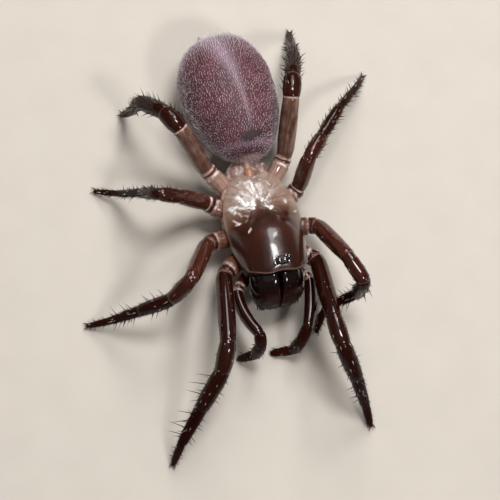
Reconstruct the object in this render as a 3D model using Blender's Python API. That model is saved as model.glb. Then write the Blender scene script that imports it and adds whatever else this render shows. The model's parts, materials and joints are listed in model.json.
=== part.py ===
"""A trapdoor spider standing on level ground, life size.

The animal faces -Y with its own left side at +X. Every size below is in
millimetres; the root empty scales the finished animal to metres. The ground
is z = 0, and the origin lies under the middle of the leg span.
"""

import math
import random

import bmesh
import bpy
from mathutils import Matrix, Vector

MM = 0.001
GAP = 0.06
WELD = 0.0001
SHARP_ANGLE = math.radians(50.0)
SIDES = {"right": -1.0, "left": 1.0}

# Where the origin lies in the body's own plan, whose origin is the waist.
STAND_POINT = Vector((-0.99, -2.88, 0.0))

# How the body is held over the ground.
BODY_HEIGHT = 2.05
BODY_ROLL = math.radians(-6.0)
BODY_PITCH = math.radians(-3.0)

# Head shield: half widths, crest and rim heights at shares of its length.
SHIELD_REAR = -0.2
SHIELD_LENGTH = 4.8
SHIELD_FRONT = SHIELD_REAR - SHIELD_LENGTH
SHIELD_BASE = -0.05
HALF_WIDTHS = ((0.0, 0.72), (0.08, 1.22), (0.22, 1.6), (0.42, 1.78), (0.62, 1.74), (0.85, 1.56), (1.0, 1.32))
CREST = ((0.0, 0.22), (0.15, 0.46), (0.36, 0.6), (0.55, 1.0), (0.75, 1.5), (0.9, 1.66), (1.0, 1.42))
RIM = ((0.0, 0.1), (0.2, 0.02), (0.7, 0.02), (0.88, 0.24), (1.0, 0.76))
DOME_POWER = 2.3
DOME_SOFTNESS = 0.72
FRONT_BOW = 0.22
CORNER_ROUNDING = 0.1
NOTCH_DEPTH = 0.2
NOTCH_HALF_WIDTH = 0.5
NOTCH_SHARE = 0.12
PIT_SHARE = 0.36
PIT_DEPTH = 0.16
PIT_HALF_WIDTH = 0.09
PIT_HALF_LENGTH = 0.035
GROOVE_DEPTH = 0.09
GROOVE_FAN = 1.9
GROOVE_WIDTH = 0.1
GROOVE_REACH = 0.28
SHIELD_ACROSS = 20
SHIELD_ALONG = 22

# Eye mound near the front edge of the shield, with each eye's place and radius.
EYES_AT = SHIELD_FRONT + 0.16
EYE_MOUND = Vector((0.4, 0.26, 0.24))
EYE_MOUND_TOP = 1.75
MOUND_SIDES = 16
MOUND_RINGS = 8
EYE_SINK = 0.35
EYES = (
    ("front_median", 0.12, -0.06, 0.1),
    ("front_side", 0.33, -0.14, 0.11),
    ("rear_side", 0.37, 0.08, 0.1),
    ("rear_median", 0.25, 0.13, 0.075),
)

# Breast plate and side membranes: half widths at places behind the waist.
PLATE_TOP = SHIELD_BASE - GAP
PLATE_BOTTOM = -1.2
PLATE_STATIONS = ((-0.35, 0.55), (-0.8, 1.0), (-1.9, 1.3), (-3.2, 1.3), (-4.2, 1.0), (-4.9, 0.72))
PLATE_SQUARENESS = 0.6
PLATE_FLARE = 0.2
PLATE_SIDES = 16

# Waist and abdomen.
ABDOMEN_FRONT = 0.38
ABDOMEN_LENGTH = 6.1
ABDOMEN_HALF_WIDTH = 2.25
ABDOMEN_HALF_HEIGHT = 1.98
ABDOMEN_RISE = 0.38
ABDOMEN_SHIFT = -0.2
ABDOMEN_SWAY = -0.16
ABDOMEN_REAR_SWELL = 0.2
ABDOMEN_BLUNTNESS = 0.86
ABDOMEN_RINGS = 14
ABDOMEN_POLE = 0.4
ABDOMEN_SIDES = 24
WAIST_RADIUS = 0.3
WAIST_FRONT = -0.28
WAIST_REAR = ABDOMEN_FRONT - 0.05
WAIST_HEIGHT = -0.12
WAIST_PROFILE = ((0.0, 0.8), (0.3, 1.0), (0.7, 1.0), (1.0, 0.8))
WAIST_SIDES = 12

# Silk fingers under the rear end of the abdomen.
SPINNERET_ROOT = Vector((0.42, ABDOMEN_FRONT + 0.88 * ABDOMEN_LENGTH, -0.42))
SPINNERET_LENGTHS = (0.55, 0.42, 0.38)
SPINNERET_RADII = (0.24, 0.19, 0.15, 0.06)
SPINNERET_PINCH = 0.9
SPINNERET_HEADING = Vector((0.16, 1.0, -0.45))
SPINNERET_LIFT = Vector((0.0, 0.06, 0.12))
SPINNERET_SIDES = 8

# Jaws: place ahead of the shield, half width, half height, middle height.
JAW_STATIONS = (
    (0.09, 0.53, 0.86, 0.08),
    (0.22, 0.6, 1.0, 0.12),
    (0.56, 0.635, 1.04, 0.08),
    (0.96, 0.615, 0.98, -0.04),
    (1.22, 0.53, 0.82, -0.18),
    (1.39, 0.37, 0.55, -0.32),
    (1.46, 0.2, 0.3, -0.38),
)
JAW_HALF_WIDTH = 0.635
JAW_SQUARENESS = 0.76
JAW_SIDES = 14
FANG_PATH = (
    Vector((0.6, -6.2, -1.12)),
    Vector((0.6, -6.02, -1.36)),
    Vector((0.56, -5.6, -1.44)),
    Vector((0.48, -5.1, -1.34)),
)
FANG_RADII = (0.17, 0.14, 0.09, 0.02)
FANG_SIDES = 8

# Legs: the joint between trochanter and femur, and where the coxa starts.
HIPS = {
    1: Vector((2.25, -4.6, -0.34)),
    2: Vector((2.65, -3.0, -0.36)),
    3: Vector((2.25, -1.05, -0.4)),
    4: Vector((1.92, 0.52, -0.3)),
}
COXA_ROOTS = {
    1: Vector((1.0, -3.7, -0.72)),
    2: Vector((1.15, -2.78, -0.72)),
    3: Vector((1.12, -1.82, -0.68)),
    4: Vector((0.85, -0.85, -0.68)),
}
# Femur, patella, tibia, metatarsus and tarsus of each pair.
LENGTHS = {
    1: (3.85, 1.4, 2.05, 2.0, 1.3),
    2: (3.22, 1.45, 1.82, 1.88, 1.3),
    3: (2.05, 1.45, 1.82, 2.25, 1.4),
    4: (3.5, 1.15, 2.0, 2.15, 1.2),
}
WIDTHS = {
    1: (0.86, 0.82, 0.78, 0.6, 0.4),
    2: (0.8, 0.72, 0.66, 0.5, 0.34),
    3: (0.78, 0.68, 0.56, 0.4, 0.3),
    4: (0.86, 0.86, 0.78, 0.58, 0.4),
}
COXA_WIDTH = 0.88
TROCHANTER_WIDTH = 0.86
TROCHANTER_LENGTH = 0.42
# Headings turn from straight ahead towards the left side, and rises go up from
# level, both in degrees. The rise of the foot follows from the height of its
# joint, so it has a heading only.
POSES = {
    ("right", 1): ((-12, -22, -43, -42, -33), (26, -24, -32, -35)),
    ("right", 2): ((-35, -59, -91, -95, -97), (43, -40, -40, -48)),
    ("right", 3): ((-95, -94, -138, -130, -118), (51, 42, -63, -63)),
    ("right", 4): ((-138, -152, -143, -137, -125), (61, -10, -47, -84)),
    ("left", 1): ((-5, 3, 20, 24, 11), (34, 8, -43, -59)),
    ("left", 2): ((15, 20, -50, -86, -30), (46, 2, -84, -43)),
    ("left", 3): ((153, 138, 137, 132, 140), (65, -17, -13, -38)),
    ("left", 4): ((168, 162, 160, 162, 163), (56, -14, -42, -59)),
}
FOOT_CENTRE = 0.07
LEG_SIDES = 10

# Limits for the leaning rings at a bend.
LEAN_REACH = 1.5
MOST_STRETCH = 1.35

# Feelers beside the jaws, built as short legs with no metatarsus.
PALP_HIP = Vector((1.74, -5.4, -0.62))
PALP_ROOT = Vector((0.9, -4.54, -0.8))
PALP_LENGTHS = (2.5, 0.83, 1.2, 1.1)
PALP_WIDTHS = (0.58, 0.56, 0.58, 0.46)
PALP_POSES = {
    "right": ((11, 5, -55, -100), (21, -58, -79)),
    "left": ((-17, -36, -66, -97), (16, -47, -75)),
}
PALP_COXA_WIDTH = 0.6
PALP_TROCHANTER_LENGTH = 0.3
# How far the middle of each feeler's femur bows away from the jaws.
PALP_BOWS = {"right": 0.2, "left": 0.08}

# Rows of spines on each segment of a leg pair. A row holds its angle from the
# top of the segment round towards the tail, its number and its length.
SPINE_ROWS = {
    1: {
        "tibia": ((80, 3, 0.72), (245, 3, 0.34), (165, 2, 0.42)),
        "metatarsus": ((85, 4, 0.62), (250, 3, 0.38), (170, 2, 0.4)),
        "tarsus": ((100, 2, 0.26), (255, 2, 0.24)),
    },
    2: {
        "tibia": ((75, 3, 0.48), (265, 3, 0.4), (170, 2, 0.4)),
        "metatarsus": ((80, 3, 0.48), (270, 4, 0.42), (200, 2, 0.4)),
        "tarsus": ((95, 2, 0.26), (265, 2, 0.26)),
    },
    3: {
        "patella": ((70, 3, 0.28), (290, 3, 0.28)),
        "tibia": ((75, 5, 0.32), (285, 5, 0.32), (20, 3, 0.26)),
        "metatarsus": ((80, 5, 0.36), (280, 5, 0.36), (180, 2, 0.42)),
        "tarsus": ((90, 2, 0.22), (270, 2, 0.22)),
    },
    4: {
        "patella": ((-35, 3, 0.4), (15, 3, 0.44), (65, 3, 0.4)),
        "tibia": ((-50, 4, 0.44), (0, 4, 0.5), (50, 4, 0.5), (100, 3, 0.4), (-100, 3, 0.4)),
        "metatarsus": ((-60, 4, 0.36), (20, 4, 0.4), (90, 4, 0.4), (180, 2, 0.36)),
        "tarsus": ((60, 2, 0.24), (-70, 2, 0.24)),
    },
    "palp": {
        "tibia": ((80, 2, 0.26), (270, 2, 0.26)),
        "tarsus": ((60, 2, 0.22), (-60, 2, 0.22), (180, 1, 0.2)),
    },
}
# The left first leg is turned about its own length, with its long row below.
SPINE_TWIST = {("left", 1): 70.0}
SPINE_LEAN = {1: 22.0, 2: 32.0, 3: 42.0, 4: 50.0, "palp": 45.0}
SPINE_RADIUS = 0.055
# Depth of the root below the skin, as a share of the segment's radius.
SPINE_SINK = 0.4
SPINE_SPAN = (0.16, 0.88)
SPINE_SIDES = 4
SPINE_CLEARANCE = 0.05
# How far single spines stray from their row: degrees round the segment,
# degrees of lean, share of the step along it and share of their length.
STRAY_TURN = 9.0
STRAY_LEAN = 7.0
STRAY_STEP = 0.25
STRAY_LENGTH = 0.14
SEED = 41

# Strong teeth for digging along the front lower edge of each jaw.
RAKE_TEETH = 5
RAKE_INNER = 0.28
RAKE_OUTER = 0.92
RAKE_ROOT = Vector((0.0, SHIELD_FRONT - 1.2, -0.54))
RAKE_HEADING = Vector((0.0, -0.75, -0.66))
RAKE_LENGTH = 0.44
RAKE_RADIUS = 0.085

# Two hooks on each foot: reach, spread and rise of each half, with radii.
CLAW_SINK = 0.12
CLAW_SPACING = 0.045
CLAW_SPREAD = 0.45
CLAW_STEPS = (Vector((0.22, 0.0, 0.05)), Vector((0.12, 0.0, -0.1)))
CLAW_RADII = (0.05, 0.035, 0.012)
CLAW_SIDES = 5

# Share of a segment's width at each share of its length.
PROFILES = {
    "coxa": ((0.0, 0.86), (0.5, 1.0), (0.9, 0.96)),
    "trochanter": ((0.0, 0.8), (0.3, 0.94), (0.75, 0.92)),
    "femur": ((0.0, 0.8), (0.1, 0.94), (0.35, 1.0), (0.7, 0.98), (0.93, 0.9), (1.0, 0.84)),
    "patella": ((0.0, 0.84), (0.14, 0.97), (0.5, 1.04), (0.88, 0.96)),
    "tibia": ((0.0, 0.86), (0.14, 1.0), (0.55, 1.0), (0.9, 0.9), (1.0, 0.8)),
    "metatarsus": ((0.0, 0.86), (0.1, 1.0), (0.5, 0.92), (0.9, 0.78)),
    "tarsus": ((0.0, 0.9), (0.12, 1.0), (0.6, 0.86), (0.9, 0.66), (1.0, 0.44)),
}


def material(name, colour, roughness):
    """A plain surface of one sRGB colour."""
    mat = bpy.data.materials.new(name)
    mat.use_nodes = True
    shader = mat.node_tree.nodes["Principled BSDF"]
    linear = [(c / 12.92) if c <= 0.04045 else ((c + 0.055) / 1.055) ** 2.4 for c in colour]
    shader.inputs["Base Color"].default_value = (*linear, 1.0)
    shader.inputs["Roughness"].default_value = roughness
    shader.inputs["Metallic"].default_value = 0.0
    mat.diffuse_color = (*linear, 1.0)
    return mat


def curve_at(points, t):
    """Height of a smooth curve through a few (place, value) points."""
    last = len(points) - 1
    for i in range(last):
        if t <= points[i + 1][0] or i == last - 1:
            break
    before = points[max(i - 1, 0)]
    start, end = points[i], points[i + 1]
    after = points[min(i + 2, last)]
    span = end[0] - start[0]
    slope_in = (end[1] - before[1]) / (end[0] - before[0]) * span
    slope_out = (after[1] - start[1]) / (after[0] - start[0]) * span
    f = (t - start[0]) / span
    return (
        (2 * f**3 - 3 * f**2 + 1) * start[1]
        + (f**3 - 2 * f**2 + f) * slope_in
        + (3 * f**2 - 2 * f**3) * end[1]
        + (f**3 - f**2) * slope_out
    )


def body_matrix():
    """Places the body's own frame over the ground."""
    lift = Matrix.Translation((0.0, 0.0, BODY_HEIGHT))
    return lift @ Matrix.Rotation(BODY_PITCH, 4, "X") @ Matrix.Rotation(-BODY_ROLL, 4, "Y")


def heading(turn, rise):
    """Unit direction from a heading and a rise in degrees."""
    turn, rise = math.radians(turn), math.radians(rise)
    return Vector((math.sin(turn) * math.cos(rise), -math.cos(turn) * math.cos(rise), math.sin(rise)))


def finish(name, bm, mat, parent=None):
    """Turns a closed bmesh into a smooth shaded object."""
    bmesh.ops.recalc_face_normals(bm, faces=bm.faces)
    mesh = bpy.data.meshes.new(name)
    bm.to_mesh(mesh)
    bm.free()
    mesh.materials.append(mat)
    mesh.shade_smooth()
    mesh.set_sharp_from_angle(angle=SHARP_ANGLE)
    obj = bpy.data.objects.new(name, mesh)
    bpy.context.scene.collection.objects.link(obj)
    obj.parent = parent
    return obj


def ring(bm, centre, tangent, side, radii, count):
    """One closed ring of edges across the tangent."""
    up = tangent.cross(side).normalized()
    matrix = Matrix((side, up, tangent)).transposed().to_4x4()
    matrix.translation = centre
    size = Matrix.Diagonal((*radii, 1.0, 1.0))
    return bmesh.ops.create_circle(bm, radius=1.0, segments=count, matrix=matrix @ size)["verts"]


def square_off(verts, centre, halves, power):
    """Makes a ring that lies across Y fuller at its four corners."""
    for vert in verts:
        for axis, half in zip((0, 2), halves):
            share = (vert.co[axis] - centre[axis]) / half
            vert.co[axis] = centre[axis] + half * math.copysign(abs(share) ** power, share)


def skin_rings(bm, rings):
    """Joins each ring to the next and closes both ends."""
    loops = [list({edge for vert in verts for edge in vert.link_edges}) for verts in rings]
    for first, second in zip(loops, loops[1:]):
        bmesh.ops.bridge_loops(bm, edges=first + second)
    bm.faces.new(rings[0])
    bm.faces.new(rings[-1])


def limb(stations, count, side):
    """A tube through (centre, tangent, radius, bend, stretch) stations."""
    bm = bmesh.new()
    rings = []
    for centre, tangent, radius, bend, stretch in stations:
        side = (side - tangent * side.dot(tangent)).normalized()
        verts = ring(bm, centre, tangent, side, (radius, radius), count)
        if bend is not None:
            for vert in verts:
                vert.co += bend * ((vert.co - centre).dot(bend) * (stretch - 1.0))
        rings.append(verts)
    skin_rings(bm, rings)
    return bm


def mitre(before, after, past, radius):
    """Tangent, bend axis and stretch of a ring that lies a little past a joint.

    Rings lean towards the plane that halves the bend as far as the limb's
    inner side would reach through it, so that neighbours never cross.
    """
    own = after if past >= 0.0 else before
    half_turn = before.angle(after) / 2.0
    if half_turn < math.radians(0.5):
        return own, None, 1.0
    reach = LEAN_REACH * radius * math.tan(half_turn)
    lean = max(0.0, 1.0 - abs(past) / reach)
    tangent = own.lerp((before + after).normalized(), lean).normalized()
    stretch = 1.0 + (min(1.0 / math.cos(half_turn), MOST_STRETCH) - 1.0) * lean
    return tangent, (after - before).normalized(), stretch


def tube(joints, kinds, widths, before=None, after=None, bow=None):
    """Stations of a jointed tube; before and after point along the neighbours.

    The bow is how far the middle of a femur lies beside its straight line.
    """
    directions = [(end - start).normalized() for start, end in zip(joints, joints[1:])]
    stations = []
    last = len(kinds) - 1
    for i, kind in enumerate(kinds):
        start, end = joints[i], joints[i + 1]
        previous = directions[i - 1] if i else before
        following = directions[i + 1] if i < last else after
        length = (end - start).length
        for share, swell in PROFILES[kind]:
            if share == 1.0 and i < last:
                continue
            radius = widths[i] * swell / 2.0
            centre = start.lerp(end, share)
            if bow is not None and kind == "femur":
                centre = centre + bow * (4.0 * share * (1.0 - share))
            tangent, bend, stretch = directions[i], None, 1.0
            if previous is not None and share < 0.5:
                tangent, bend, stretch = mitre(previous, directions[i], share * length, radius)
            if following is not None and share > 0.5:
                tangent, bend, stretch = mitre(directions[i], following, (share - 1.0) * length, radius)
            if share == 0.0 and i == 0 and before is not None:
                centre = centre + tangent * (GAP / 2.0)
            if share == 1.0 and i == last and after is not None:
                centre = centre - tangent * (GAP / 2.0)
            stations.append((centre, tangent, radius, bend, stretch))
    return stations


def straight(path, radii):
    """Stations of a short tube through a few points."""
    stations = []
    for i, (point, radius) in enumerate(zip(path, radii)):
        ahead = path[min(i + 1, len(path) - 1)] - path[max(i - 1, 0)]
        stations.append((point, ahead.normalized(), radius, None, 1.0))
    return stations


def keep_largest(bm):
    """Deletes every surface but the one that spans the most room."""
    left = set(bm.faces)
    shells = []
    while left:
        shell = {left.pop()}
        front = list(shell)
        while front:
            face = front.pop()
            near = {other for edge in face.edges for other in edge.link_faces} & left
            left -= near
            shell |= near
            front.extend(near)
        shells.append(shell)

    def spread(shell):
        corners = [vert.co for face in shell for vert in face.verts]
        return math.prod(max(c[i] for c in corners) - min(c[i] for c in corners) for i in range(3))

    shells.sort(key=spread)
    spare = [face for shell in shells[:-1] for face in shell]
    bmesh.ops.delete(bm, geom=spare, context="FACES")


def combine(base, pieces, operation="UNION"):
    """Applies one Boolean of a whole collection to the base object."""
    group = bpy.data.collections.new(base.name + "_pieces")
    bpy.context.scene.collection.children.link(group)
    for piece in pieces:
        group.objects.link(piece)
    boolean = base.modifiers.new("combine", "BOOLEAN")
    boolean.operation = operation
    boolean.operand_type = "COLLECTION"
    boolean.collection = group
    boolean.solver = "EXACT"
    bpy.context.view_layer.update()
    graph = bpy.context.evaluated_depsgraph_get()
    result = bpy.data.meshes.new_from_object(base.evaluated_get(graph))
    base.modifiers.clear()
    bm = bmesh.new()
    bm.from_mesh(result)
    bmesh.ops.remove_doubles(bm, verts=bm.verts, dist=WELD)
    keep_largest(bm)
    bm.to_mesh(base.data)
    bm.free()
    bpy.data.meshes.remove(result)
    for piece in pieces:
        bpy.data.objects.remove(piece, do_unlink=True)
    bpy.data.collections.remove(group)
    base.data.shade_smooth()
    base.data.set_sharp_from_angle(angle=SHARP_ANGLE)


def grown_copy(obj, reach):
    """A copy pushed out along its normals, used to cut a seat with a gap."""
    bm = bmesh.new()
    bm.from_mesh(obj.data)
    bm.normal_update()
    moves = [vert.normal * reach for vert in bm.verts]
    for vert, move in zip(bm.verts, moves):
        vert.co += move
    return finish(obj.name + "_seat", bm, obj.data.materials[0], obj.parent)


def seat_against(obj, *neighbours):
    """Cuts the object back so that it meets its neighbours with an even gap."""
    combine(obj, [grown_copy(neighbour, GAP) for neighbour in neighbours], "DIFFERENCE")


def flatten_under(obj):
    """Cuts away what lies under the ground, which leaves a small flat sole."""
    bm = bmesh.new()
    bm.from_mesh(obj.data)
    geometry = bm.verts[:] + bm.edges[:] + bm.faces[:]
    bmesh.ops.bisect_plane(bm, geom=geometry, plane_co=(0, 0, 0), plane_no=(0, 0, -1), clear_outer=True)
    open_edges = [edge for edge in bm.edges if edge.is_boundary]
    bmesh.ops.holes_fill(bm, edges=open_edges, sides=0)
    keep_largest(bm)
    bmesh.ops.triangulate(bm, faces=[face for face in bm.faces if len(face.verts) > 4])
    bmesh.ops.recalc_face_normals(bm, faces=bm.faces)
    bm.to_mesh(obj.data)
    bm.free()


def spike(root_point, way, length, radius, mat, parent):
    """One tapered spine with a few sides."""
    bm = bmesh.new()
    middle = Matrix.Translation(root_point + way * (length / 2.0))
    turn = way.to_track_quat("Z", "Y").to_matrix().to_4x4()
    sides = {"cap_ends": True, "segments": SPINE_SIDES, "radius1": radius, "radius2": 0.0}
    bmesh.ops.create_cone(bm, depth=length, matrix=middle @ turn, **sides)
    bmesh.ops.remove_doubles(bm, verts=bm.verts, dist=WELD)
    return finish("spike", bm, mat, parent)


def spines(joints, kinds, widths, side, pair, luck, mat, parent):
    """Rows of spines on a jointed tube, each rooted well inside its segment."""
    made = []
    first, last = SPINE_SPAN
    twist = SPINE_TWIST.get((side, pair), 0.0)
    for i, kind in enumerate(kinds):
        start, end = joints[i], joints[i + 1]
        along = (end - start).normalized()
        up = Vector((0, 0, 1))
        up = (up - along * up.dot(along)).normalized()
        rear = up.cross(along) * SIDES[side]
        sunk = widths[i] / 2.0 * SPINE_SINK
        for angle, count, length in SPINE_ROWS[pair].get(kind, ()):
            for k in range(count):
                step = (k + 0.5 + luck.uniform(-STRAY_STEP, STRAY_STEP)) / count
                around = math.radians(angle + twist + luck.uniform(-STRAY_TURN, STRAY_TURN))
                lean = math.radians(SPINE_LEAN[pair] + luck.uniform(-STRAY_LEAN, STRAY_LEAN))
                outward = up * math.cos(around) + rear * math.sin(around)
                way = outward * math.cos(lean) + along * math.sin(lean)
                middle = start.lerp(end, first + (last - first) * step)
                root_point = middle + outward * (widths[i] / 2.0 - sunk)
                reach = sunk + length * (1.0 + luck.uniform(-STRAY_LENGTH, STRAY_LENGTH))
                if (root_point + way * reach).z > SPINE_CLEARANCE:
                    made.append(spike(root_point, way, reach, SPINE_RADIUS, mat, parent))
    return made


def shield_height(across, along):
    """Top of the head shield; across runs from -1 to 1, along from rear to front."""
    edge = curve_at(RIM, along)
    crest = curve_at(CREST, along)
    reach = abs(across)
    height = edge + (crest - edge) * (1.0 - reach**DOME_POWER) ** DOME_SOFTNESS
    ahead = along - PIT_SHARE
    height -= PIT_DEPTH * math.exp(-((across / PIT_HALF_WIDTH) ** 2) - (ahead / PIT_HALF_LENGTH) ** 2)
    if ahead > 0.0:
        off_line = reach - GROOVE_FAN * ahead
        fade = math.exp(-((ahead / GROOVE_REACH) ** 4))
        height -= GROOVE_DEPTH * fade * math.exp(-((off_line / GROOVE_WIDTH) ** 2))
    return height


def shield(mat, parent):
    """The head shield: a domed plate with a pit, two grooves and a flat base."""
    bm = bmesh.new()
    bmesh.ops.create_grid(bm, x_segments=SHIELD_ACROSS, y_segments=SHIELD_ALONG, size=1.0)
    for vert in bm.verts:
        across = math.sin(vert.co.x * math.pi / 2.0)
        along = (vert.co.y + 1.0) / 2.0
        half = curve_at(HALF_WIDTHS, along)
        notch = NOTCH_DEPTH * math.exp(-((across / NOTCH_HALF_WIDTH) ** 2))
        notch *= max(0.0, 1.0 - along / NOTCH_SHARE)
        bow = (FRONT_BOW * (1.0 - across**2) - CORNER_ROUNDING * across**8) * along**4
        y = SHIELD_REAR - (SHIELD_LENGTH - FRONT_BOW) * along - notch - bow
        vert.co = (across * half, y, shield_height(across, along))
    rim = [edge for edge in bm.edges if edge.is_boundary]
    walls = bmesh.ops.extrude_edge_only(bm, edges=rim)
    for item in walls["geom"]:
        if isinstance(item, bmesh.types.BMVert):
            item.co.z = SHIELD_BASE
    base = [edge for edge in bm.edges if edge.is_boundary]
    bmesh.ops.holes_fill(bm, edges=base, sides=0)
    bmesh.ops.triangulate(bm, faces=[face for face in bm.faces if len(face.verts) > 4])
    return finish("carapace", bm, mat, parent)


def eye_mound(mat, carapace, parent):
    """A low dark mound with eight small domed eyes, cut to sit on the shield."""
    bm = bmesh.new()
    middle = EYE_MOUND_TOP - EYE_MOUND.z
    place = Matrix.Translation((0.0, EYES_AT, middle)) @ Matrix.Diagonal((*EYE_MOUND, 1.0))
    bmesh.ops.create_uvsphere(bm, u_segments=MOUND_SIDES, v_segments=MOUND_RINGS, radius=1.0, matrix=place)
    mound = finish("eye_mound", bm, mat, parent)
    eyes = []
    for label, x, y, radius in EYES:
        for side, sign in SIDES.items():
            eye = bmesh.new()
            off_middle = (x / EYE_MOUND.x) ** 2 + (y / EYE_MOUND.y) ** 2 / 2.0
            height = middle + EYE_MOUND.z * math.sqrt(max(0.0, 1.0 - off_middle))
            centre = (sign * x, EYES_AT + y, height - radius * EYE_SINK)
            bmesh.ops.create_icosphere(eye, subdivisions=1, radius=radius, matrix=Matrix.Translation(centre))
            eyes.append(finish("eye_" + label + "_" + side, eye, mat, parent))
    combine(mound, eyes)
    combine(mound, [grown_copy(carapace, GAP / 2.0)], "DIFFERENCE")


def breast_plate(mat, parent):
    """Breast plate and side membranes, in one body under the shield."""
    bm = bmesh.new()
    rings = []
    middle = (PLATE_TOP + PLATE_BOTTOM) / 2.0
    half_height = (PLATE_TOP - PLATE_BOTTOM) / 2.0
    for y, half_width in PLATE_STATIONS:
        centre = Vector((0.0, y, middle))
        halves = (half_width, half_height)
        verts = ring(bm, centre, Vector((0, -1, 0)), Vector((1, 0, 0)), halves, PLATE_SIDES)
        square_off(verts, centre, halves, PLATE_SQUARENESS)
        for vert in verts:
            vert.co.x *= 1.0 + PLATE_FLARE * (vert.co.z - middle) / half_height
        rings.append(verts)
    skin_rings(bm, rings)
    return finish("breast_plate", bm, mat, parent)


def waist(mat, parent):
    """The narrow stalk that joins head end and abdomen."""
    bm = bmesh.new()
    rings = []
    for share, swell in WAIST_PROFILE:
        centre = Vector((0.0, WAIST_FRONT + (WAIST_REAR - WAIST_FRONT) * share, WAIST_HEIGHT))
        radius = WAIST_RADIUS * swell
        rings.append(ring(bm, centre, Vector((0, 1, 0)), Vector((1, 0, 0)), (radius, radius), WAIST_SIDES))
    skin_rings(bm, rings)
    return finish("pedicel", bm, mat, parent)


def abdomen(mat, parent):
    """A soft egg, a little fuller behind its middle."""
    bm = bmesh.new()
    rings = []
    for step in (ABDOMEN_POLE, *range(1, ABDOMEN_RINGS), ABDOMEN_RINGS - ABDOMEN_POLE):
        turn = math.pi * step / ABDOMEN_RINGS
        share = (1.0 - math.cos(turn)) / 2.0
        swell = math.sin(turn) ** ABDOMEN_BLUNTNESS
        fullness = 1.0 + ABDOMEN_REAR_SWELL * (share - 0.5)
        radii = (ABDOMEN_HALF_WIDTH * swell * fullness, ABDOMEN_HALF_HEIGHT * swell)
        y = ABDOMEN_FRONT + ABDOMEN_LENGTH * share
        x = ABDOMEN_SHIFT * math.sin(turn) - ABDOMEN_SWAY * math.cos(turn)
        centre = Vector((x, y, ABDOMEN_RISE))
        rings.append(ring(bm, centre, Vector((0, 1, 0)), Vector((1, 0, 0)), radii, ABDOMEN_SIDES))
    skin_rings(bm, rings)
    return finish("abdomen", bm, mat, parent)


def spinneret(side, sign, mat, parent, belly):
    """A three-jointed silk finger that points back under the rear end."""
    turn = Vector((SPINNERET_HEADING.x * sign, SPINNERET_HEADING.y, SPINNERET_HEADING.z)).normalized()
    joint = Vector((SPINNERET_ROOT.x * sign, SPINNERET_ROOT.y, SPINNERET_ROOT.z))
    stations = [(joint, turn, SPINNERET_RADII[0] * SPINNERET_PINCH, None, 1.0)]
    for i, length in enumerate(SPINNERET_LENGTHS):
        own, following = SPINNERET_RADII[i], SPINNERET_RADII[i + 1]
        for share, radius in ((0.15, own), (0.8, own), (1.0, following * SPINNERET_PINCH)):
            stations.append((joint + turn * (length * share), turn, radius, None, 1.0))
        joint = joint + turn * length
        turn = (turn + SPINNERET_LIFT).normalized()
    finger = finish("spinneret_" + side, limb(stations, SPINNERET_SIDES, Vector((1, 0, 0))), mat, parent)
    seat_against(finger, belly)


def jaw(side, sign, mat, parent):
    """The big basal block of one jaw, blunt and bowed down at its end."""
    bm = bmesh.new()
    rings = []
    for ahead, half_width, half_height, z in JAW_STATIONS:
        x = sign * (GAP / 2.0 + (JAW_HALF_WIDTH + half_width) / 2.0)
        centre = Vector((x, SHIELD_FRONT - ahead, z))
        halves = (half_width, half_height)
        verts = ring(bm, centre, Vector((0, -1, 0)), Vector((1, 0, 0)), halves, JAW_SIDES)
        square_off(verts, centre, halves, JAW_SQUARENESS)
        for vert in verts:
            off_middle = vert.co.x / (2.0 * JAW_HALF_WIDTH)
            vert.co.y += FRONT_BOW * off_middle**2 * max(0.0, 1.0 - ahead)
        rings.append(verts)
    skin_rings(bm, rings)
    return finish("chelicera_" + side, bm, mat, parent)


def add_rake(block, sign):
    """A row of strong digging teeth along the front lower edge of one jaw."""
    way = RAKE_HEADING.normalized()
    mat = block.data.materials[0]
    teeth = []
    for i in range(RAKE_TEETH):
        x = RAKE_INNER + (RAKE_OUTER - RAKE_INNER) * i / (RAKE_TEETH - 1)
        root_point = Vector((sign * x, RAKE_ROOT.y, RAKE_ROOT.z))
        teeth.append(spike(root_point, way, RAKE_LENGTH, RAKE_RADIUS, mat, block.parent))
    combine(block, teeth)


def fang(side, sign, mat, parent, block):
    """A curved fang folded back under its jaw."""
    path = [Vector((sign * point.x, point.y, point.z)) for point in FANG_PATH]
    hook = limb(straight(path, FANG_RADII), FANG_SIDES, Vector((1, 0, 0)))
    seat_against(finish("fang_" + side, hook, mat, parent), block)


def leg_joints(start, turns, rises, lengths):
    """Joint positions down a leg; the last segment reaches the ground."""
    joints = [start]
    for turn, rise, length in zip(turns, rises, lengths):
        joints.append(joints[-1] + heading(turn, rise) * length)
    drop = (joints[-1].z - FOOT_CENTRE) / lengths[-1]
    last_rise = -math.degrees(math.asin(drop))
    joints.append(joints[-1] + heading(turns[-1], last_rise) * lengths[-1])
    return joints


def claws(name, ankle, foot, mat, parent):
    """Two short hooks at the end of a foot."""
    along = (foot - ankle).normalized()
    level = Vector((along.x, along.y, 0.0)).normalized()
    across = Vector((-level.y, level.x, 0.0))
    up = Vector((0, 0, 1))
    made = []
    for sign in SIDES.values():
        out = (level + across * (CLAW_SPREAD * sign)).normalized()
        path = [foot - along * CLAW_SINK + across * (CLAW_SPACING * sign)]
        for step in CLAW_STEPS:
            path.append(path[-1] + out * step.x + up * step.z)
        made.append(finish(name + "_claw", limb(straight(path, CLAW_RADII), CLAW_SIDES, across), mat, parent))
    return made


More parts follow.
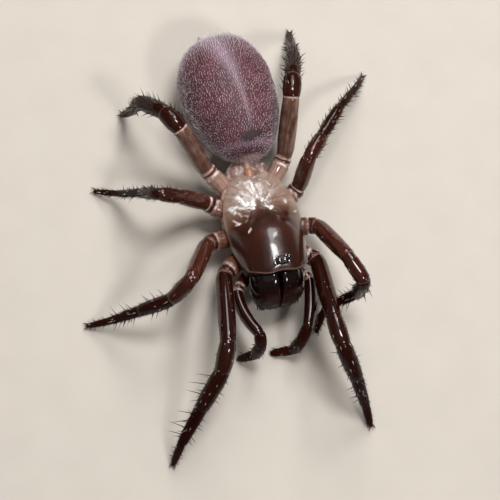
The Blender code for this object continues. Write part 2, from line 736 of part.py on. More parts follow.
def leg(side, number, body, mats, root, plate, luck):
    """One leg in three nodes: coxa to femur, patella and tibia, metatarsus and foot."""
    mirror = Matrix.Diagonal((SIDES[side], 1.0, 1.0, 1.0))
    hip = body @ mirror @ HIPS[number]
    coxa = body @ mirror @ COXA_ROOTS[number]
    turns, rises = POSES[(side, number)]
    joints = leg_joints(hip, turns, rises, LENGTHS[number])
    trochanter = hip + (coxa - hip).normalized() * TROCHANTER_LENGTH
    widths = WIDTHS[number]
    directions = [(end - start).normalized() for start, end in zip(joints, joints[1:])]
    level_side = Vector((0, 0, 1)).cross(directions[0]).normalized()
    name = "leg_" + side + "_" + str(number)

    upper = tube(
        (coxa, trochanter, joints[0], joints[1]),
        ("coxa", "trochanter", "femur"),
        (COXA_WIDTH, TROCHANTER_WIDTH, widths[0]),
        after=directions[1],
    )
    thigh = finish(name + "_femur", limb(upper, LEG_SIDES, level_side), mats["femur"], root)
    seat_against(thigh, plate)

    kinds = ("patella", "tibia")
    middle = tube(joints[1:4], kinds, widths[1:3], directions[0], directions[3])
    shin = finish(name + "_tibia", limb(middle, LEG_SIDES, level_side), mats["tibia"], root)
    combine(shin, spines(joints[1:4], kinds, widths[1:3], side, number, luck, mats["tibia"], root))

    kinds = ("metatarsus", "tarsus")
    lower = tube(joints[3:6], kinds, widths[3:5], directions[2])
    foot = finish(name + "_tarsus", limb(lower, LEG_SIDES, level_side), mats["tarsus"], root)
    pieces = spines(joints[3:6], kinds, widths[3:5], side, number, luck, mats["tarsus"], root)
    combine(foot, pieces + claws(name, joints[4], joints[5], mats["tarsus"], root))
    flatten_under(foot)


def palp(side, body, mats, root, plate, block, luck):
    """One feeler in two nodes: coxa to femur, and patella to tip."""
    mirror = Matrix.Diagonal((SIDES[side], 1.0, 1.0, 1.0))
    hip = body @ mirror @ PALP_HIP
    coxa = body @ mirror @ PALP_ROOT
    turns, rises = PALP_POSES[side]
    joints = leg_joints(hip, turns, rises, PALP_LENGTHS)
    trochanter = hip + (coxa - hip).normalized() * PALP_TROCHANTER_LENGTH
    directions = [(end - start).normalized() for start, end in zip(joints, joints[1:])]
    level_side = Vector((0, 0, 1)).cross(directions[0]).normalized()
    upper = tube(
        (coxa, trochanter, joints[0], joints[1]),
        ("coxa", "trochanter", "femur"),
        (PALP_COXA_WIDTH, PALP_COXA_WIDTH, PALP_WIDTHS[0]),
        after=directions[1],
        bow=level_side * (PALP_BOWS[side] * SIDES[side]),
    )
    thigh = finish("palp_" + side + "_femur", limb(upper, LEG_SIDES, level_side), mats["femur"], root)
    seat_against(thigh, plate, block)
    kinds = ("patella", "tibia", "tarsus")
    lower = tube(joints[1:5], kinds, PALP_WIDTHS[1:4], directions[0])
    tip = finish("palp_" + side + "_tarsus", limb(lower, LEG_SIDES, level_side), mats["tarsus"], root)
    combine(tip, spines(joints[1:5], kinds, PALP_WIDTHS[1:4], side, "palp", luck, mats["tarsus"], root))
    flatten_under(tip)


def main():
    for obj in list(bpy.data.objects):
        bpy.data.objects.remove(obj, do_unlink=True)
    mats = {
        "shield": material("carapace_brown", (0.36, 0.27, 0.24), 0.2),
        "under": material("pale_membrane", (0.62, 0.5, 0.45), 0.4),
        "waist": material("amber_joint", (0.68, 0.4, 0.25), 0.25),
        "abdomen": material("abdomen_purple", (0.32, 0.22, 0.27), 0.6),
        "jaw": material("jaw_black", (0.1, 0.06, 0.05), 0.1),
        "fang": material("fang_black", (0.12, 0.05, 0.04), 0.15),
        "eye": material("eye_black", (0.05, 0.04, 0.04), 0.05),
        "spinneret": material("spinneret_tan", (0.55, 0.43, 0.38), 0.5),
        "femur": material("leg_brown", (0.27, 0.16, 0.14), 0.22),
        "tibia": material("leg_dark_brown", (0.22, 0.12, 0.11), 0.25),
        "tarsus": material("foot_brown", (0.28, 0.16, 0.14), 0.35),
    }
    root = bpy.data.objects.new("spider", None)
    trunk = bpy.data.objects.new("trunk", None)
    for empty in (root, trunk):
        bpy.context.scene.collection.objects.link(empty)
    body = body_matrix()
    trunk.matrix_local = body
    trunk.parent = root

    carapace = shield(mats["shield"], trunk)
    eye_mound(mats["eye"], carapace, trunk)
    plate = breast_plate(mats["under"], trunk)
    waist(mats["waist"], trunk)
    belly = abdomen(mats["abdomen"], trunk)
    luck = random.Random(SEED)
    for side, sign in SIDES.items():
        block = jaw(side, sign, mats["jaw"], trunk)
        fang(side, sign, mats["fang"], trunk, block)
        spinneret(side, sign, mats["spinneret"], trunk, belly)
        palp(side, body, mats, root, plate, block, luck)
        add_rake(block, sign)
        for number in HIPS:
            leg(side, number, body, mats, root, plate, luck)
    root.scale = (MM, MM, MM)
    root.location = -STAND_POINT * MM


main()
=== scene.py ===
# %% [markdown]
# # A trapdoor spider, life size
#
# A folding-door spider of the family Antrodiaetidae, posed as a museum would
# show it. Its body is a thin hard shell of chitin over soft parts, so most of
# the looks come from gloss, from colour that shows through the shell, and from
# bristles. The CAD frame gives place and size, and every piece below stands in
# the room that its CAD node fills.
#
# The frame is loaded first.

import json
import math

import bmesh
import bpy
import numpy as np
from mathutils import Matrix, Vector, kdtree, noise

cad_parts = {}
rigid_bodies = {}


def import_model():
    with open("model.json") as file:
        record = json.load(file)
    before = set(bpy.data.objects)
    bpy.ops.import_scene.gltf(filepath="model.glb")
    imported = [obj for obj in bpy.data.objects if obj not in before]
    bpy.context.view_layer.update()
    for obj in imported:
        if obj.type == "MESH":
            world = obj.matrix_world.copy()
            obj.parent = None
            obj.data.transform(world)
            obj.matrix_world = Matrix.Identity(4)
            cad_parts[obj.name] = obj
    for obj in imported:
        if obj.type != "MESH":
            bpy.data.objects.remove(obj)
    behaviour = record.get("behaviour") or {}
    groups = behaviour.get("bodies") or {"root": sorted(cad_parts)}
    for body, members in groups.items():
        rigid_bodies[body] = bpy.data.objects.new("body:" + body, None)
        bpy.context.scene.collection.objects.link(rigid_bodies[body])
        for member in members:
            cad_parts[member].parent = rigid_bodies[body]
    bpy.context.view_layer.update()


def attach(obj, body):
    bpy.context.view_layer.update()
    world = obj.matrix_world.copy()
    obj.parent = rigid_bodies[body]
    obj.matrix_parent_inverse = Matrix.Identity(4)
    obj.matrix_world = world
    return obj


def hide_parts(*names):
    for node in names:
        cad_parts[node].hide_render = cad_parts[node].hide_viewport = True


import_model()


# %% [markdown]
# ## Frames and shared sizes
#
# All sizes are in millimetres and repeat the ones that the solids are made
# from. The body has a frame of its own: the waist is its origin, the head
# points to -Y and the animal's left is +X. That frame is tilted a little and
# lifted on the legs, so one matrix takes body sizes to the world, and a second
# one takes sizes measured from the ground. The sizes of a piece stand with it.

# %% frames
MM = 0.001
WELD = 2e-7
X_AXIS, Z_AXIS = Vector((1.0, 0.0, 0.0)), Vector((0.0, 0.0, 1.0))
SIDES = {"right": -1.0, "left": 1.0}
# Middle of the leg span on the ground, which is the origin of the model.
STAND_POINT = Vector((-0.99, -2.88, 0.0))
BODY_HEIGHT = 2.05
BODY_ROLL = math.radians(-6.0)
BODY_PITCH = math.radians(-3.0)

GROUND = Matrix.Scale(MM, 4) @ Matrix.Translation(-STAND_POINT)
BODY = (
    Matrix.Translation((0.0, 0.0, BODY_HEIGHT))
    @ Matrix.Rotation(BODY_PITCH, 4, "X")
    @ Matrix.Rotation(-BODY_ROLL, 4, "Y")
)
TRUNK = GROUND @ BODY
REARWARD = (BODY.to_3x3() @ Vector((0.0, 1.0, 0.0))).normalized()
print("rearward of the body:", [round(share, 3) for share in REARWARD])


# %% [markdown]
# ## Helpers for shapes
#
# A limb, a jaw or an abdomen is a row of rings, so one function sweeps a skin
# through rings of points by extruding each ring's edges. Another finishes any
# piece: it welds, turns the normals outward, shades it smooth and ties it to
# the CAD body and to the nodes it stands for.

# %% shape helpers
def curve_at(points, t):
    """Height of a smooth curve through a few (place, value) points."""
    last = len(points) - 1
    for i in range(last):
        if t <= points[i + 1][0] or i == last - 1:
            break
    before = points[max(i - 1, 0)]
    start, end = points[i], points[i + 1]
    after = points[min(i + 2, last)]
    span = end[0] - start[0]
    slope_in = (end[1] - before[1]) / (end[0] - before[0]) * span
    slope_out = (after[1] - start[1]) / (after[0] - start[0]) * span
    f = (t - start[0]) / span
    return (
        (2 * f**3 - 3 * f**2 + 1) * start[1]
        + (f**3 - 2 * f**2 + f) * slope_in
        + (3 * f**2 - 2 * f**3) * end[1]
        + (f**3 - f**2) * slope_out
    )


def bell(distance, width):
    """A soft hump of height 1 that falls away over the width."""
    return math.exp(-((distance / width) ** 2))


def smooth_step(value, low, high):
    """0 below low, 1 above high, with a soft ramp between them."""
    t = min(1.0, max(0.0, (value - low) / (high - low)))
    return t * t * (3.0 - 2.0 * t)


def squared(value, power):
    """A sine or cosine made fuller by a power below 1, with its sign kept."""
    return math.copysign(abs(value) ** power, value)


def ring_points(centre, side, up, radii, count, squareness=1.0):
    """Points round one ring; below 1, squareness makes its corners fuller."""
    points = []
    for k in range(count):
        turn = math.tau * k / count
        across = squared(math.cos(turn), squareness)
        along = squared(math.sin(turn), squareness)
        points.append(centre + side * (radii[0] * across) + up * (radii[1] * along))
    return points


def sweep(bm, rings):
    """Extrudes a closed skin through rings of points and returns its vertices."""
    verts = bmesh.ops.create_circle(bm, segments=len(rings[0]), radius=1.0)["verts"]
    for vert, point in zip(verts, rings[0]):
        vert.co = point
    made = [verts]
    for points in rings[1:]:
        edges = []
        for a, b in zip(verts, verts[1:] + verts[:1]):
            edges.append(next(edge for edge in a.link_edges if edge.other_vert(a) is b))
        new = bmesh.ops.extrude_edge_only(bm, edges=edges)["geom"]
        fresh = {item for item in new if isinstance(item, bmesh.types.BMVert)}
        verts = [next(e.other_vert(v) for e in v.link_edges if e.other_vert(v) in fresh) for v in verts]
        for vert, point in zip(verts, points):
            vert.co = point
        made.append(verts)
    bm.faces.new(made[0])
    bm.faces.new(made[-1])
    return made


def put_in_scene(name, data):
    """A new object for a mesh, a lamp or a camera."""
    obj = bpy.data.objects.new(name, data)
    bpy.context.scene.collection.objects.link(obj)
    return obj


def place_piece(name, bm, mat, spot, nodes):
    """Finishes a mesh, moves it to its spot and ties it to the CAD frame."""
    bm.transform(spot)
    bmesh.ops.remove_doubles(bm, verts=bm.verts, dist=WELD)
    bmesh.ops.recalc_face_normals(bm, faces=bm.faces)
    mesh = bpy.data.meshes.new(name)
    bm.to_mesh(mesh)
    bm.free()
    mesh.materials.append(mat)
    mesh.shade_smooth()
    obj = put_in_scene(name, mesh)
    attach(obj, "root")
    if nodes:
        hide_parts(*nodes)
    print(name, "faces", len(mesh.polygons))
    return obj


# %% [markdown]
# ## Helpers for materials
#
# Colours are written as sRGB hex, as a colour chart gives them, and one
# function turns them into the linear values that the shader needs. One helper
# adds any node with its settings and links, so a material reads as a list of
# what goes into what. Texture sizes are in millimetres: each material starts
# from the object coordinates times a thousand. The last helper feeds the shader
# with colour, with bumps and with whatever else changes over the surface.

# %% material helpers
def linear(code):
    """An sRGB hex colour as linear RGBA."""
    channels = [int(code[i : i + 2], 16) / 255.0 for i in (1, 3, 5)]
    return (*[c / 12.92 if c <= 0.04045 else ((c + 0.055) / 1.055) ** 2.4 for c in channels], 1.0)


def add(tree, kind, inputs, stops=(), **settings):
    """Adds one node; inputs are values or the sockets that feed them."""
    node = tree.nodes.new("ShaderNode" + kind)
    for key, value in settings.items():
        setattr(node, key, value)
    for key, value in inputs.items():
        if isinstance(value, bpy.types.NodeSocket):
            tree.links.new(value, node.inputs[key])
        else:
            node.inputs[key].default_value = value
    for i, (place, code) in enumerate(stops):
        element = node.color_ramp.elements[i] if i < 2 else node.color_ramp.elements.new(place)
        element.position = place
        element.color = linear(code)
    return node


# A range with a soft start and end, and the inputs that hold the ends of any range.
SOFT = {"interpolation_type": "SMOOTHSTEP"}
RANGE_ENDS = ("From Min", "From Max", "To Min", "To Max")


def surface(name, **constants):
    """A new material: its tree, its shader and its coordinates in millimetres."""
    mat = bpy.data.materials.new(name)
    mat.use_nodes = True
    tree = mat.node_tree
    shader = tree.nodes["Principled BSDF"]
    for key, value in constants.items():
        shader.inputs[key.replace("_", " ").title().replace("Ior", "IOR")].default_value = value
    place = add(tree, "TexCoord", {}).outputs["Object"]
    in_mm = add(tree, "VectorMath", {0: place, "Scale": 1.0 / MM}, operation="SCALE").outputs[0]
    return mat, tree, shader, in_mm


def dress(tree, shader, colour, height=None, strength=0.0, depth=0.0, **others):
    """Feeds the shader: colour, bumps of a depth in millimetres, other inputs by name."""
    if height is not None:
        bumps = {"Strength": strength, "Distance": depth * MM, "Height": height}
        others["normal"] = add(tree, "Bump", bumps).outputs[0]
    for key, socket in {"base_color": colour, **others}.items():
        tree.links.new(socket, shader.inputs[key.replace("_", " ").title()])


# %% [markdown]
# ## Head shield
#
# The shield (carapace) is one thin dome. Its front third, the caput, is high
# and dark because muscles and pigment lie right under it. The rear is thin and
# half clear, so wrinkled silvery tissue shows through it. A pit (fovea) marks
# where the stomach muscles hold on, and furrows run out from it. A grid is bent
# to the dome's formula, then a thin lip is extruded round its edge. Each vertex
# keeps its place on the shield and its direction from the pit, for the material.

# %% sizes of the head shield
SHIELD_REAR = -0.2
SHIELD_LENGTH = 4.8
SHIELD_FRONT = SHIELD_REAR - SHIELD_LENGTH
SHIELD_BASE = -0.05
# Half width, height of the middle and height of the edge, by share of the length from the rear.
HALF_WIDTHS = ((0.0, 0.7), (0.08, 1.14), (0.22, 1.54), (0.42, 1.77), (0.62, 1.77), (0.85, 1.65), (1.0, 1.41))
CREST = (
    (0.0, 0.22), (0.15, 0.46), (0.36, 0.6), (0.46, 0.84), (0.56, 1.18), (0.66, 1.46),
    (0.74, 1.58), (0.82, 1.62), (0.9, 1.6), (0.96, 1.54), (1.0, 1.4),
)
RIM = ((0.0, 0.1), (0.2, 0.02), (0.7, 0.02), (0.88, 0.24), (1.0, 0.76))
DOME_POWER = 2.3
DOME_SOFTNESS = 0.72
FRONT_BOW = 0.22
CORNER_ROUNDING = 0.1
NOTCH_DEPTH = 0.2
NOTCH_HALF_WIDTH = 0.5
NOTCH_SHARE = 0.12
PIT_SHARE = 0.36
PIT_DEPTH = 0.16
PIT_HALF_WIDTH = 0.09
PIT_HALF_LENGTH = 0.035
GROOVE_DEPTH = 0.07
GROOVE_FAN = 1.9
GROOVE_WIDTH = 0.1
GROOVE_REACH = 0.28

SHIELD_GRID = (120, 150)
SHIELD_ASIDE = 0.06
EAVE_START = 0.84
EAVE_REACH = 0.27
EAVE_LOBE = 0.1
EAVE_LOBE_AT = 0.45
EAVE_LOBE_WIDTH = 0.3
FURROW_COUNT = 9
FURROW_DEPTH = 0.022
FURROW_START = (0.25, 0.7)
CLEAR_REAR = (0.3, 0.5)
CLEAR_SLANT = 0.2
SMOOTH_EDGE = 0.86
PALE_RIM = (0.96, 0.995)
CRINKLE_DEPTH = 0.03
# Strength, waves across and along, and a place of its own for each size of crinkle.
CRINKLES = ((1.0, 5.0, 7.0, 3.0), (0.5, 11.0, 13.0, 7.0))
LIP_REACH = 0.022
LIP_DROP = 0.022
LIP_THICKNESS = 0.022
widest = 2.0 * max(half for _, half in HALF_WIDTHS)
print("head shield in mm:", SHIELD_LENGTH, "long,", widest, "wide")


# %% dome of the head shield
def shield_height(across, along):
    """Top of the head shield; across runs from -1 to 1, along from rear to front."""
    edge = curve_at(RIM, along)
    crest = curve_at(CREST, along)
    reach = abs(across)
    height = edge + (crest - edge) * max(0.0, 1.0 - reach**DOME_POWER) ** DOME_SOFTNESS
    ahead = along - PIT_SHARE
    height -= PIT_DEPTH * bell(across, PIT_HALF_WIDTH) * bell(ahead, PIT_HALF_LENGTH)
    if ahead > 0.0:
        groove = bell(reach - GROOVE_FAN * ahead, GROOVE_WIDTH)
        height -= GROOVE_DEPTH * math.exp(-((ahead / GROOVE_REACH) ** 4)) * groove
    return height


def shield_place(across, along):
    """A point on the shield in the body's frame."""
    half = curve_at(HALF_WIDTHS, along)
    notch = NOTCH_DEPTH * bell(across, NOTCH_HALF_WIDTH) * max(0.0, 1.0 - along / NOTCH_SHARE)
    bow = (FRONT_BOW * (1.0 - across**2) - CORNER_ROUNDING * across**8) * along**4
    lobe = EAVE_REACH + EAVE_LOBE * bell(abs(across) - EAVE_LOBE_AT, EAVE_LOBE_WIDTH)
    eave = lobe * smooth_step(along, EAVE_START, 1.0)
    y = SHIELD_REAR - (SHIELD_LENGTH - FRONT_BOW) * along - notch - bow - eave
    return Vector((across * half + SHIELD_ASIDE, y, shield_height(across, along)))


# %% silvery tissue and its painted reflection
# Silvery tissue under the rear, drawn with its painted reflection: both ends as (across, along), half width
# in mm, strength.
SILVER_AND_REFLECTION_STROKES = (
    ((-0.55, 0.15), (-0.35, 0.34), 0.46, 0.42),
    ((0.0, 0.14), (0.2, 0.32), 0.34, 0.45),
    ((0.5, 0.2), (0.62, 0.36), 0.3, 0.22),
    ((-0.66, 0.13), (-0.42, 0.08), 0.11, 0.8),
    ((-0.42, 0.08), (-0.16, 0.085), 0.11, 1.0),
    ((-0.16, 0.085), (-0.07, 0.28), 0.1, 1.0),
    ((-0.32, 0.13), (-0.18, 0.25), 0.08, 0.75),
    ((-0.64, 0.262), (-0.24, 0.342), 0.17, 1.15),
    ((-0.8, 0.335), (-0.24, 0.39), 0.11, 1.0),
    ((-0.8, 0.335), (-0.73, 0.42), 0.08, 0.9),
    ((-0.67, 0.435), (-0.4, 0.49), 0.08, 0.5),
    ((-0.4, 0.49), (-0.6, 0.52), 0.08, 0.5),
    ((-0.81, 0.515), (-0.78, 0.5), 0.07, 1.0),
    ((-0.57, 0.645), (-0.5, 0.625), 0.05, 1.1),
    ((0.04, 0.315), (0.21, 0.41), 0.11, 1.2),
    ((0.28, 0.2), (0.26, 0.3), 0.14, 0.5),
    ((0.2, 0.085), (0.34, 0.1), 0.06, 0.6),
    ((0.34, 0.1), (0.43, 0.178), 0.06, 0.9),
    ((0.43, 0.178), (0.38, 0.24), 0.06, 0.7),
    ((0.46, 0.38), (0.64, 0.355), 0.03, 0.5),
    ((0.66, 0.353), (0.69, 0.35), 0.08, 1.1),
    ((0.8, 0.48), (0.82, 0.475), 0.06, 1.0),
)
SHIELD_SPREAD = Vector((1.7, 4.6))
SILVER_WANDER = 0.16
SILVER_DRIFTS = ((1.0, 2.2), (0.4, 7.0))
DRIFT_APART = Vector((31.0, 17.0, 5.0))


def silver_and_reflection_at(across, along):
    """How much silvery tissue, drawn with its painted reflection, shows at a place on the shield."""
    here = Vector((across * SHIELD_SPREAD.x, along * SHIELD_SPREAD.y))
    for size, pace in SILVER_DRIFTS:
        place = here.to_3d() * pace
        drift = Vector((noise.noise(place), noise.noise(place + DRIFT_APART)))
        here = here + SILVER_WANDER * size * drift
    shown = 0.0
    for start, end, half_width, strength in SILVER_AND_REFLECTION_STROKES:
        start = Vector((start[0] * SHIELD_SPREAD.x, start[1] * SHIELD_SPREAD.y))
        line = Vector((end[0] * SHIELD_SPREAD.x, end[1] * SHIELD_SPREAD.y)) - start
        share = min(1.0, max(0.0, (here - start).dot(line) / line.length_squared))
        off = (here - start - line * share).length
        shown = max(shown, strength * bell(off, half_width))
    return shown


# %% head shield shape
def build_shield(mat):
    bm = bmesh.new()
    zone = bm.verts.layers.float_vector.new("zone")
    ray = bm.verts.layers.float_vector.new("ray")
    look = bm.verts.layers.float_vector.new("look")
    bmesh.ops.create_grid(bm, x_segments=SHIELD_GRID[0], y_segments=SHIELD_GRID[1], size=1.0)
    pit = shield_place(0.0, PIT_SHARE)
    for vert in bm.verts:
        across = math.sin(vert.co.x * math.pi / 2.0)
        along = (vert.co.y + 1.0) / 2.0
        point = shield_place(across, along)
        out = point - pit
        out.z = 0.0
        turn = math.atan2(out.x, out.y)
        reach = out.length
        edge_share = max(abs(across), abs(2.0 * along - 1.0) ** 6)
        rear = 1.0 - smooth_step(along - CLEAR_SLANT * abs(across), *CLEAR_REAR)
        inside = 1.0 - smooth_step(edge_share, SMOOTH_EDGE, 1.0)
        furrow = math.cos(FURROW_COUNT * turn) * smooth_step(reach, *FURROW_START) * inside
        point.z -= FURROW_DEPTH * max(0.0, furrow) * (0.4 + 0.6 * rear)
        crinkle = sum(
            strength * noise.noise(Vector((point.x * wide, point.y * long, apart)))
            for strength, wide, long, apart in CRINKLES
        )
        # Silvery tissue mask: it deepens the crinkles, and the material paints the reflection off them pale.
        silver_and_reflection = silver_and_reflection_at(across, along)
        point.z += CRINKLE_DEPTH * crinkle * inside * (0.25 * rear + 0.75 * silver_and_reflection)
        vert.co = point
        vert[zone] = (across, along, edge_share)
        vert[ray] = (math.cos(turn), math.sin(turn), reach)
        vert[look] = (silver_and_reflection, rear, smooth_step(edge_share, *PALE_RIM) * (0.5 + 0.5 * rear))
    rim = [edge for edge in bm.edges if edge.is_boundary]
    centre = Vector((0.0, SHIELD_REAR - SHIELD_LENGTH / 2.0, 0.0))
    for outward, drop in ((LIP_REACH, LIP_DROP), (0.0, LIP_THICKNESS), (-2.0 * LIP_REACH, 0.0)):
        new = bmesh.ops.extrude_edge_only(bm, edges=rim)["geom"]
        for vert in (item for item in new if isinstance(item, bmesh.types.BMVert)):
            away = Vector((vert.co.x, vert.co.y - centre.y, 0.0)).normalized()
            vert.co += away * outward
            vert.co.z -= drop
        rim = [item for item in new if isinstance(item, bmesh.types.BMEdge) and item.is_boundary]
    new = bmesh.ops.extrude_edge_only(bm, edges=rim)["geom"]
    for vert in (item for item in new if isinstance(item, bmesh.types.BMVert)):
        vert.co.z = SHIELD_BASE
    base = [edge for edge in bm.edges if edge.is_boundary]
    bmesh.ops.holes_fill(bm, edges=base, sides=0)
    return place_piece("head_shield", bm, mat, TRUNK, ["carapace"])


# %% [markdown]
# ## Material of the head shield
#
# Chitin is a clear brown plastic-like shell with a wax gloss, so a thin clear
# coat lies over a rougher coloured base. The colour goes from grey-brown behind
# to dark brown in front, streaked along the furrows. Silvery tissue is drawn
# where the shape's attribute says, broken up by fine noise, as pale and near-white
# patches that are a painted reflection off its wrinkles. The rim is the paler
# edge where the shell is thin.

# %% head shield material
def shield_material():
    mat, tree, shader, in_mm = surface(
        "carapace_chitin", coat_weight=0.55, coat_roughness=0.1, coat_ior=1.5, ior=1.45
    )
    zone, ray, look = (
        add(tree, "Attribute", {}, attribute_name=field).outputs["Vector"]
        for field in ("zone", "ray", "look")
    )
    across, along, _ = add(tree, "SeparateXYZ", {0: zone}).outputs
    silver_and_reflection, _, rim = add(tree, "SeparateXYZ", {0: look}).outputs

    stretched = add(tree, "VectorMath", {0: ray, 1: (7.0, 7.0, 0.8)}, operation="MULTIPLY").outputs[0]
    streaks = add(tree, "TexNoise", {"Vector": stretched, "Scale": 1.3, "Detail": 5.0, "Roughness": 0.6})
    blotches = add(tree, "TexNoise", {"Vector": in_mm, "Scale": 1.7, "Detail": 6.0, "Roughness": 0.55})
    wobble = add(tree, "Math", {0: blotches.outputs[0], 1: 0.22, 2: -0.11}, operation="MULTIPLY_ADD")
    front_place = add(tree, "Math", {0: along, 1: wobble.outputs[0]}, operation="ADD").outputs[0]
    lateral = add(tree, "Math", {0: across}, operation="ABSOLUTE").outputs[0]
    lateral = add(tree, "Math", {0: lateral, 1: -0.2}, operation="MULTIPLY").outputs[0]
    front_place = add(tree, "Math", {0: front_place, 1: lateral}, operation="ADD").outputs[0]
    shade = add(
        tree,
        "ValToRGB",
        {0: front_place},
        stops=(
            (0.0, "#8b7468"),
            (0.2, "#7b6153"),
            (0.31, "#644637"),
            (0.4, "#3d1a0c"),
            (0.5, "#2b0e03"),
            (0.62, "#371407"),
            (0.8, "#2c0e04"),
        ),
    ).outputs[0]
    streaked = add(
        tree,
        "MapRange",
        {"Value": streaks.outputs[0], "From Min": 0.42, "From Max": 0.7, "To Min": 0.0, "To Max": 0.55},
    ).outputs[0]
    light = add(
        tree, "Mix", {0: streaked, 6: shade, 7: linear("#a18d84")}, data_type="RGBA", blend_type="SCREEN"
    ).outputs[2]
    rear_only = add(tree, "MapRange", {"Value": along, "From Min": 0.5, "From Max": 0.3}, **SOFT).outputs[0]
    toned = add(tree, "Mix", {0: rear_only, 6: shade, 7: light}, data_type="RGBA").outputs[2]

    fine = add(tree, "TexNoise", {"Vector": in_mm, "Scale": 6.5, "Detail": 7.0, "Roughness": 0.7})
    foil = add(
        tree, "TexNoise", {"Vector": in_mm, "Scale": 4.0, "Detail": 6.0, "Roughness": 0.68, "Distortion": 1.2}
    ).outputs[0]
    torn = add(tree, "Math", {0: foil, 1: 3.6, 2: -0.98}, operation="MULTIPLY_ADD").outputs[0]
    shreds = add(tree, "Math", {0: streaks.outputs[0], 1: 0.7, 2: -0.35}, operation="MULTIPLY_ADD").outputs[0]
    torn = add(tree, "Math", {0: torn, 1: shreds}, operation="ADD").outputs[0]
    level = add(tree, "Math", {0: silver_and_reflection, 1: torn}, operation="MULTIPLY").outputs[0]
    # Painted reflection: a pale haze and near-white flakes where light off the silvery tissue's wrinkles
    # would show.
    reflection_haze, reflection_flakes = (
        add(tree, "MapRange", {"Value": level, "From Min": low, "From Max": high}, **SOFT).outputs[0]
        for low, high in ((0.12, 0.6), (0.45, 1.15))
    )
    pale_rim = add(tree, "Math", {0: rim, 1: 0.7}, operation="MULTIPLY").outputs[0]
    colour = toned
    for share, code in ((reflection_haze, "#a89d97"), (reflection_flakes, "#ece9e6"), (pale_rim, "#b08b7e")):
        colour = add(tree, "Mix", {0: share, 6: colour, 7: linear(code)}, data_type="RGBA").outputs[2]

    rough = add(
        tree, "MapRange", {"Value": reflection_flakes, "From Min": 0.0, "From Max": 1.0, "To Min": 0.3, "To Max": 0.16}
    ).outputs[0]
    pores = add(tree, "TexNoise", {"Vector": in_mm, "Scale": 22.0, "Detail": 4.0, "Roughness": 0.6})
    bumps = add(tree, "Math", {0: fine.outputs[0], 1: pores.outputs[0]}, operation="ADD").outputs[0]
    dress(tree, shader, colour, bumps, 0.2, 0.02, roughness=rough)
    return mat


build_shield(shield_material())


# %% [markdown]
# ## Eyes
#
# Eight eyes sit close together on one black mound near the front edge. They are
# plain glossy lenses, each half sunk in the mound. The mound is an ellipsoid
# whose lower part is sunk in the shield, and each lens is a flattened sphere.

# %% eyes
EYES_AT = SHIELD_FRONT + 0.16
EYE_MOUND = Vector((0.46, 0.3, 0.24))
EYE_MOUND_TOP = 1.64
EYE_ASIDE = 0.1
EYE_FLATNESS = 0.34
EYE_SINK = 0.1
# Distance from the middle, distance behind the mound's middle, and radius of each pair.
EYES = {
    "front_median": (0.125, -0.06, 0.115),
    "front_side": (0.33, -0.13, 0.12),
    "rear_side": (0.36, 0.08, 0.11),
    "rear_median": (0.22, 0.13, 0.08),
}


def mound_material():
    """Thick chitin, black and nearly matt, so that the lenses stand out on it."""
    mat, tree, shader, in_mm = surface(
        "eye_mound_chitin", roughness=0.5, coat_weight=0.1, coat_roughness=0.3, specular_ior_level=0.3
    )
    grain = add(tree, "TexNoise", {"Vector": in_mm, "Scale": 14.0, "Detail": 5.0}).outputs[0]
    tone = add(tree, "ValToRGB", {0: grain}, stops=((0.3, "#0c0403"), (0.7, "#1c0b06"))).outputs[0]
    dress(tree, shader, tone, grain, 0.3, 0.01)
    return mat


def lens_material():
    """Clear lens over a dark cup: black, browner at its edge, with a sharp highlight."""
    mat, tree, shader, in_mm = surface(
        "eye_lens", roughness=0.1, coat_weight=1.0, coat_roughness=0.03, ior=1.55
    )
    facing = add(tree, "LayerWeight", {"Blend": 0.35}).outputs["Facing"]
    mottle = add(tree, "TexNoise", {"Vector": in_mm, "Scale": 9.0, "Detail": 3.0}).outputs[0]
    mixed = add(tree, "Math", {0: facing, 1: mottle}, operation="MULTIPLY").outputs[0]
    tone = add(tree, "ValToRGB", {0: mixed}, stops=((0.05, "#070505"), (0.6, "#3a2a22"))).outputs[0]
    dress(tree, shader, tone)
    return mat


def build_eyes():
    bm = bmesh.new()
    middle = EYE_MOUND_TOP - EYE_MOUND.z
    place = Matrix.Translation((EYE_ASIDE, EYES_AT, middle)) @ Matrix.Diagonal((*EYE_MOUND, 1.0))
    bmesh.ops.create_uvsphere(bm, u_segments=40, v_segments=24, radius=1.0, matrix=place)
    place_piece("eye_mound_skin", bm, mound_material(), TRUNK, ["eye_mound"])
    bm = bmesh.new()
    for x, y, radius in EYES.values():
        off_middle = (x / EYE_MOUND.x) ** 2 + (y / EYE_MOUND.y) ** 2
        height = middle + EYE_MOUND.z * math.sqrt(max(0.0, 1.0 - off_middle))
        flat = Matrix.Diagonal((radius, radius, radius * EYE_FLATNESS, 1.0))
        for sign in SIDES.values():
            centre = Matrix.Translation((sign * x + EYE_ASIDE, EYES_AT + y, height - radius * EYE_SINK))
            bmesh.ops.create_uvsphere(bm, u_segments=24, v_segments=16, radius=1.0, matrix=centre @ flat)
    place_piece("eye_lenses", bm, lens_material(), TRUNK, [])


build_eyes()


# %% [markdown]
# ## Jaws and fangs
#
# Each jaw (chelicera) is a big block of thick chitin, nearly black and mirror
# glossy, domed above and rounded at its end. It is swept through rings whose
# sizes follow three short curves. Its rear end runs on under the shield, as the
# real one does. Along its lower front edge stand strong teeth for digging, and
# the fang lies folded back beneath it.

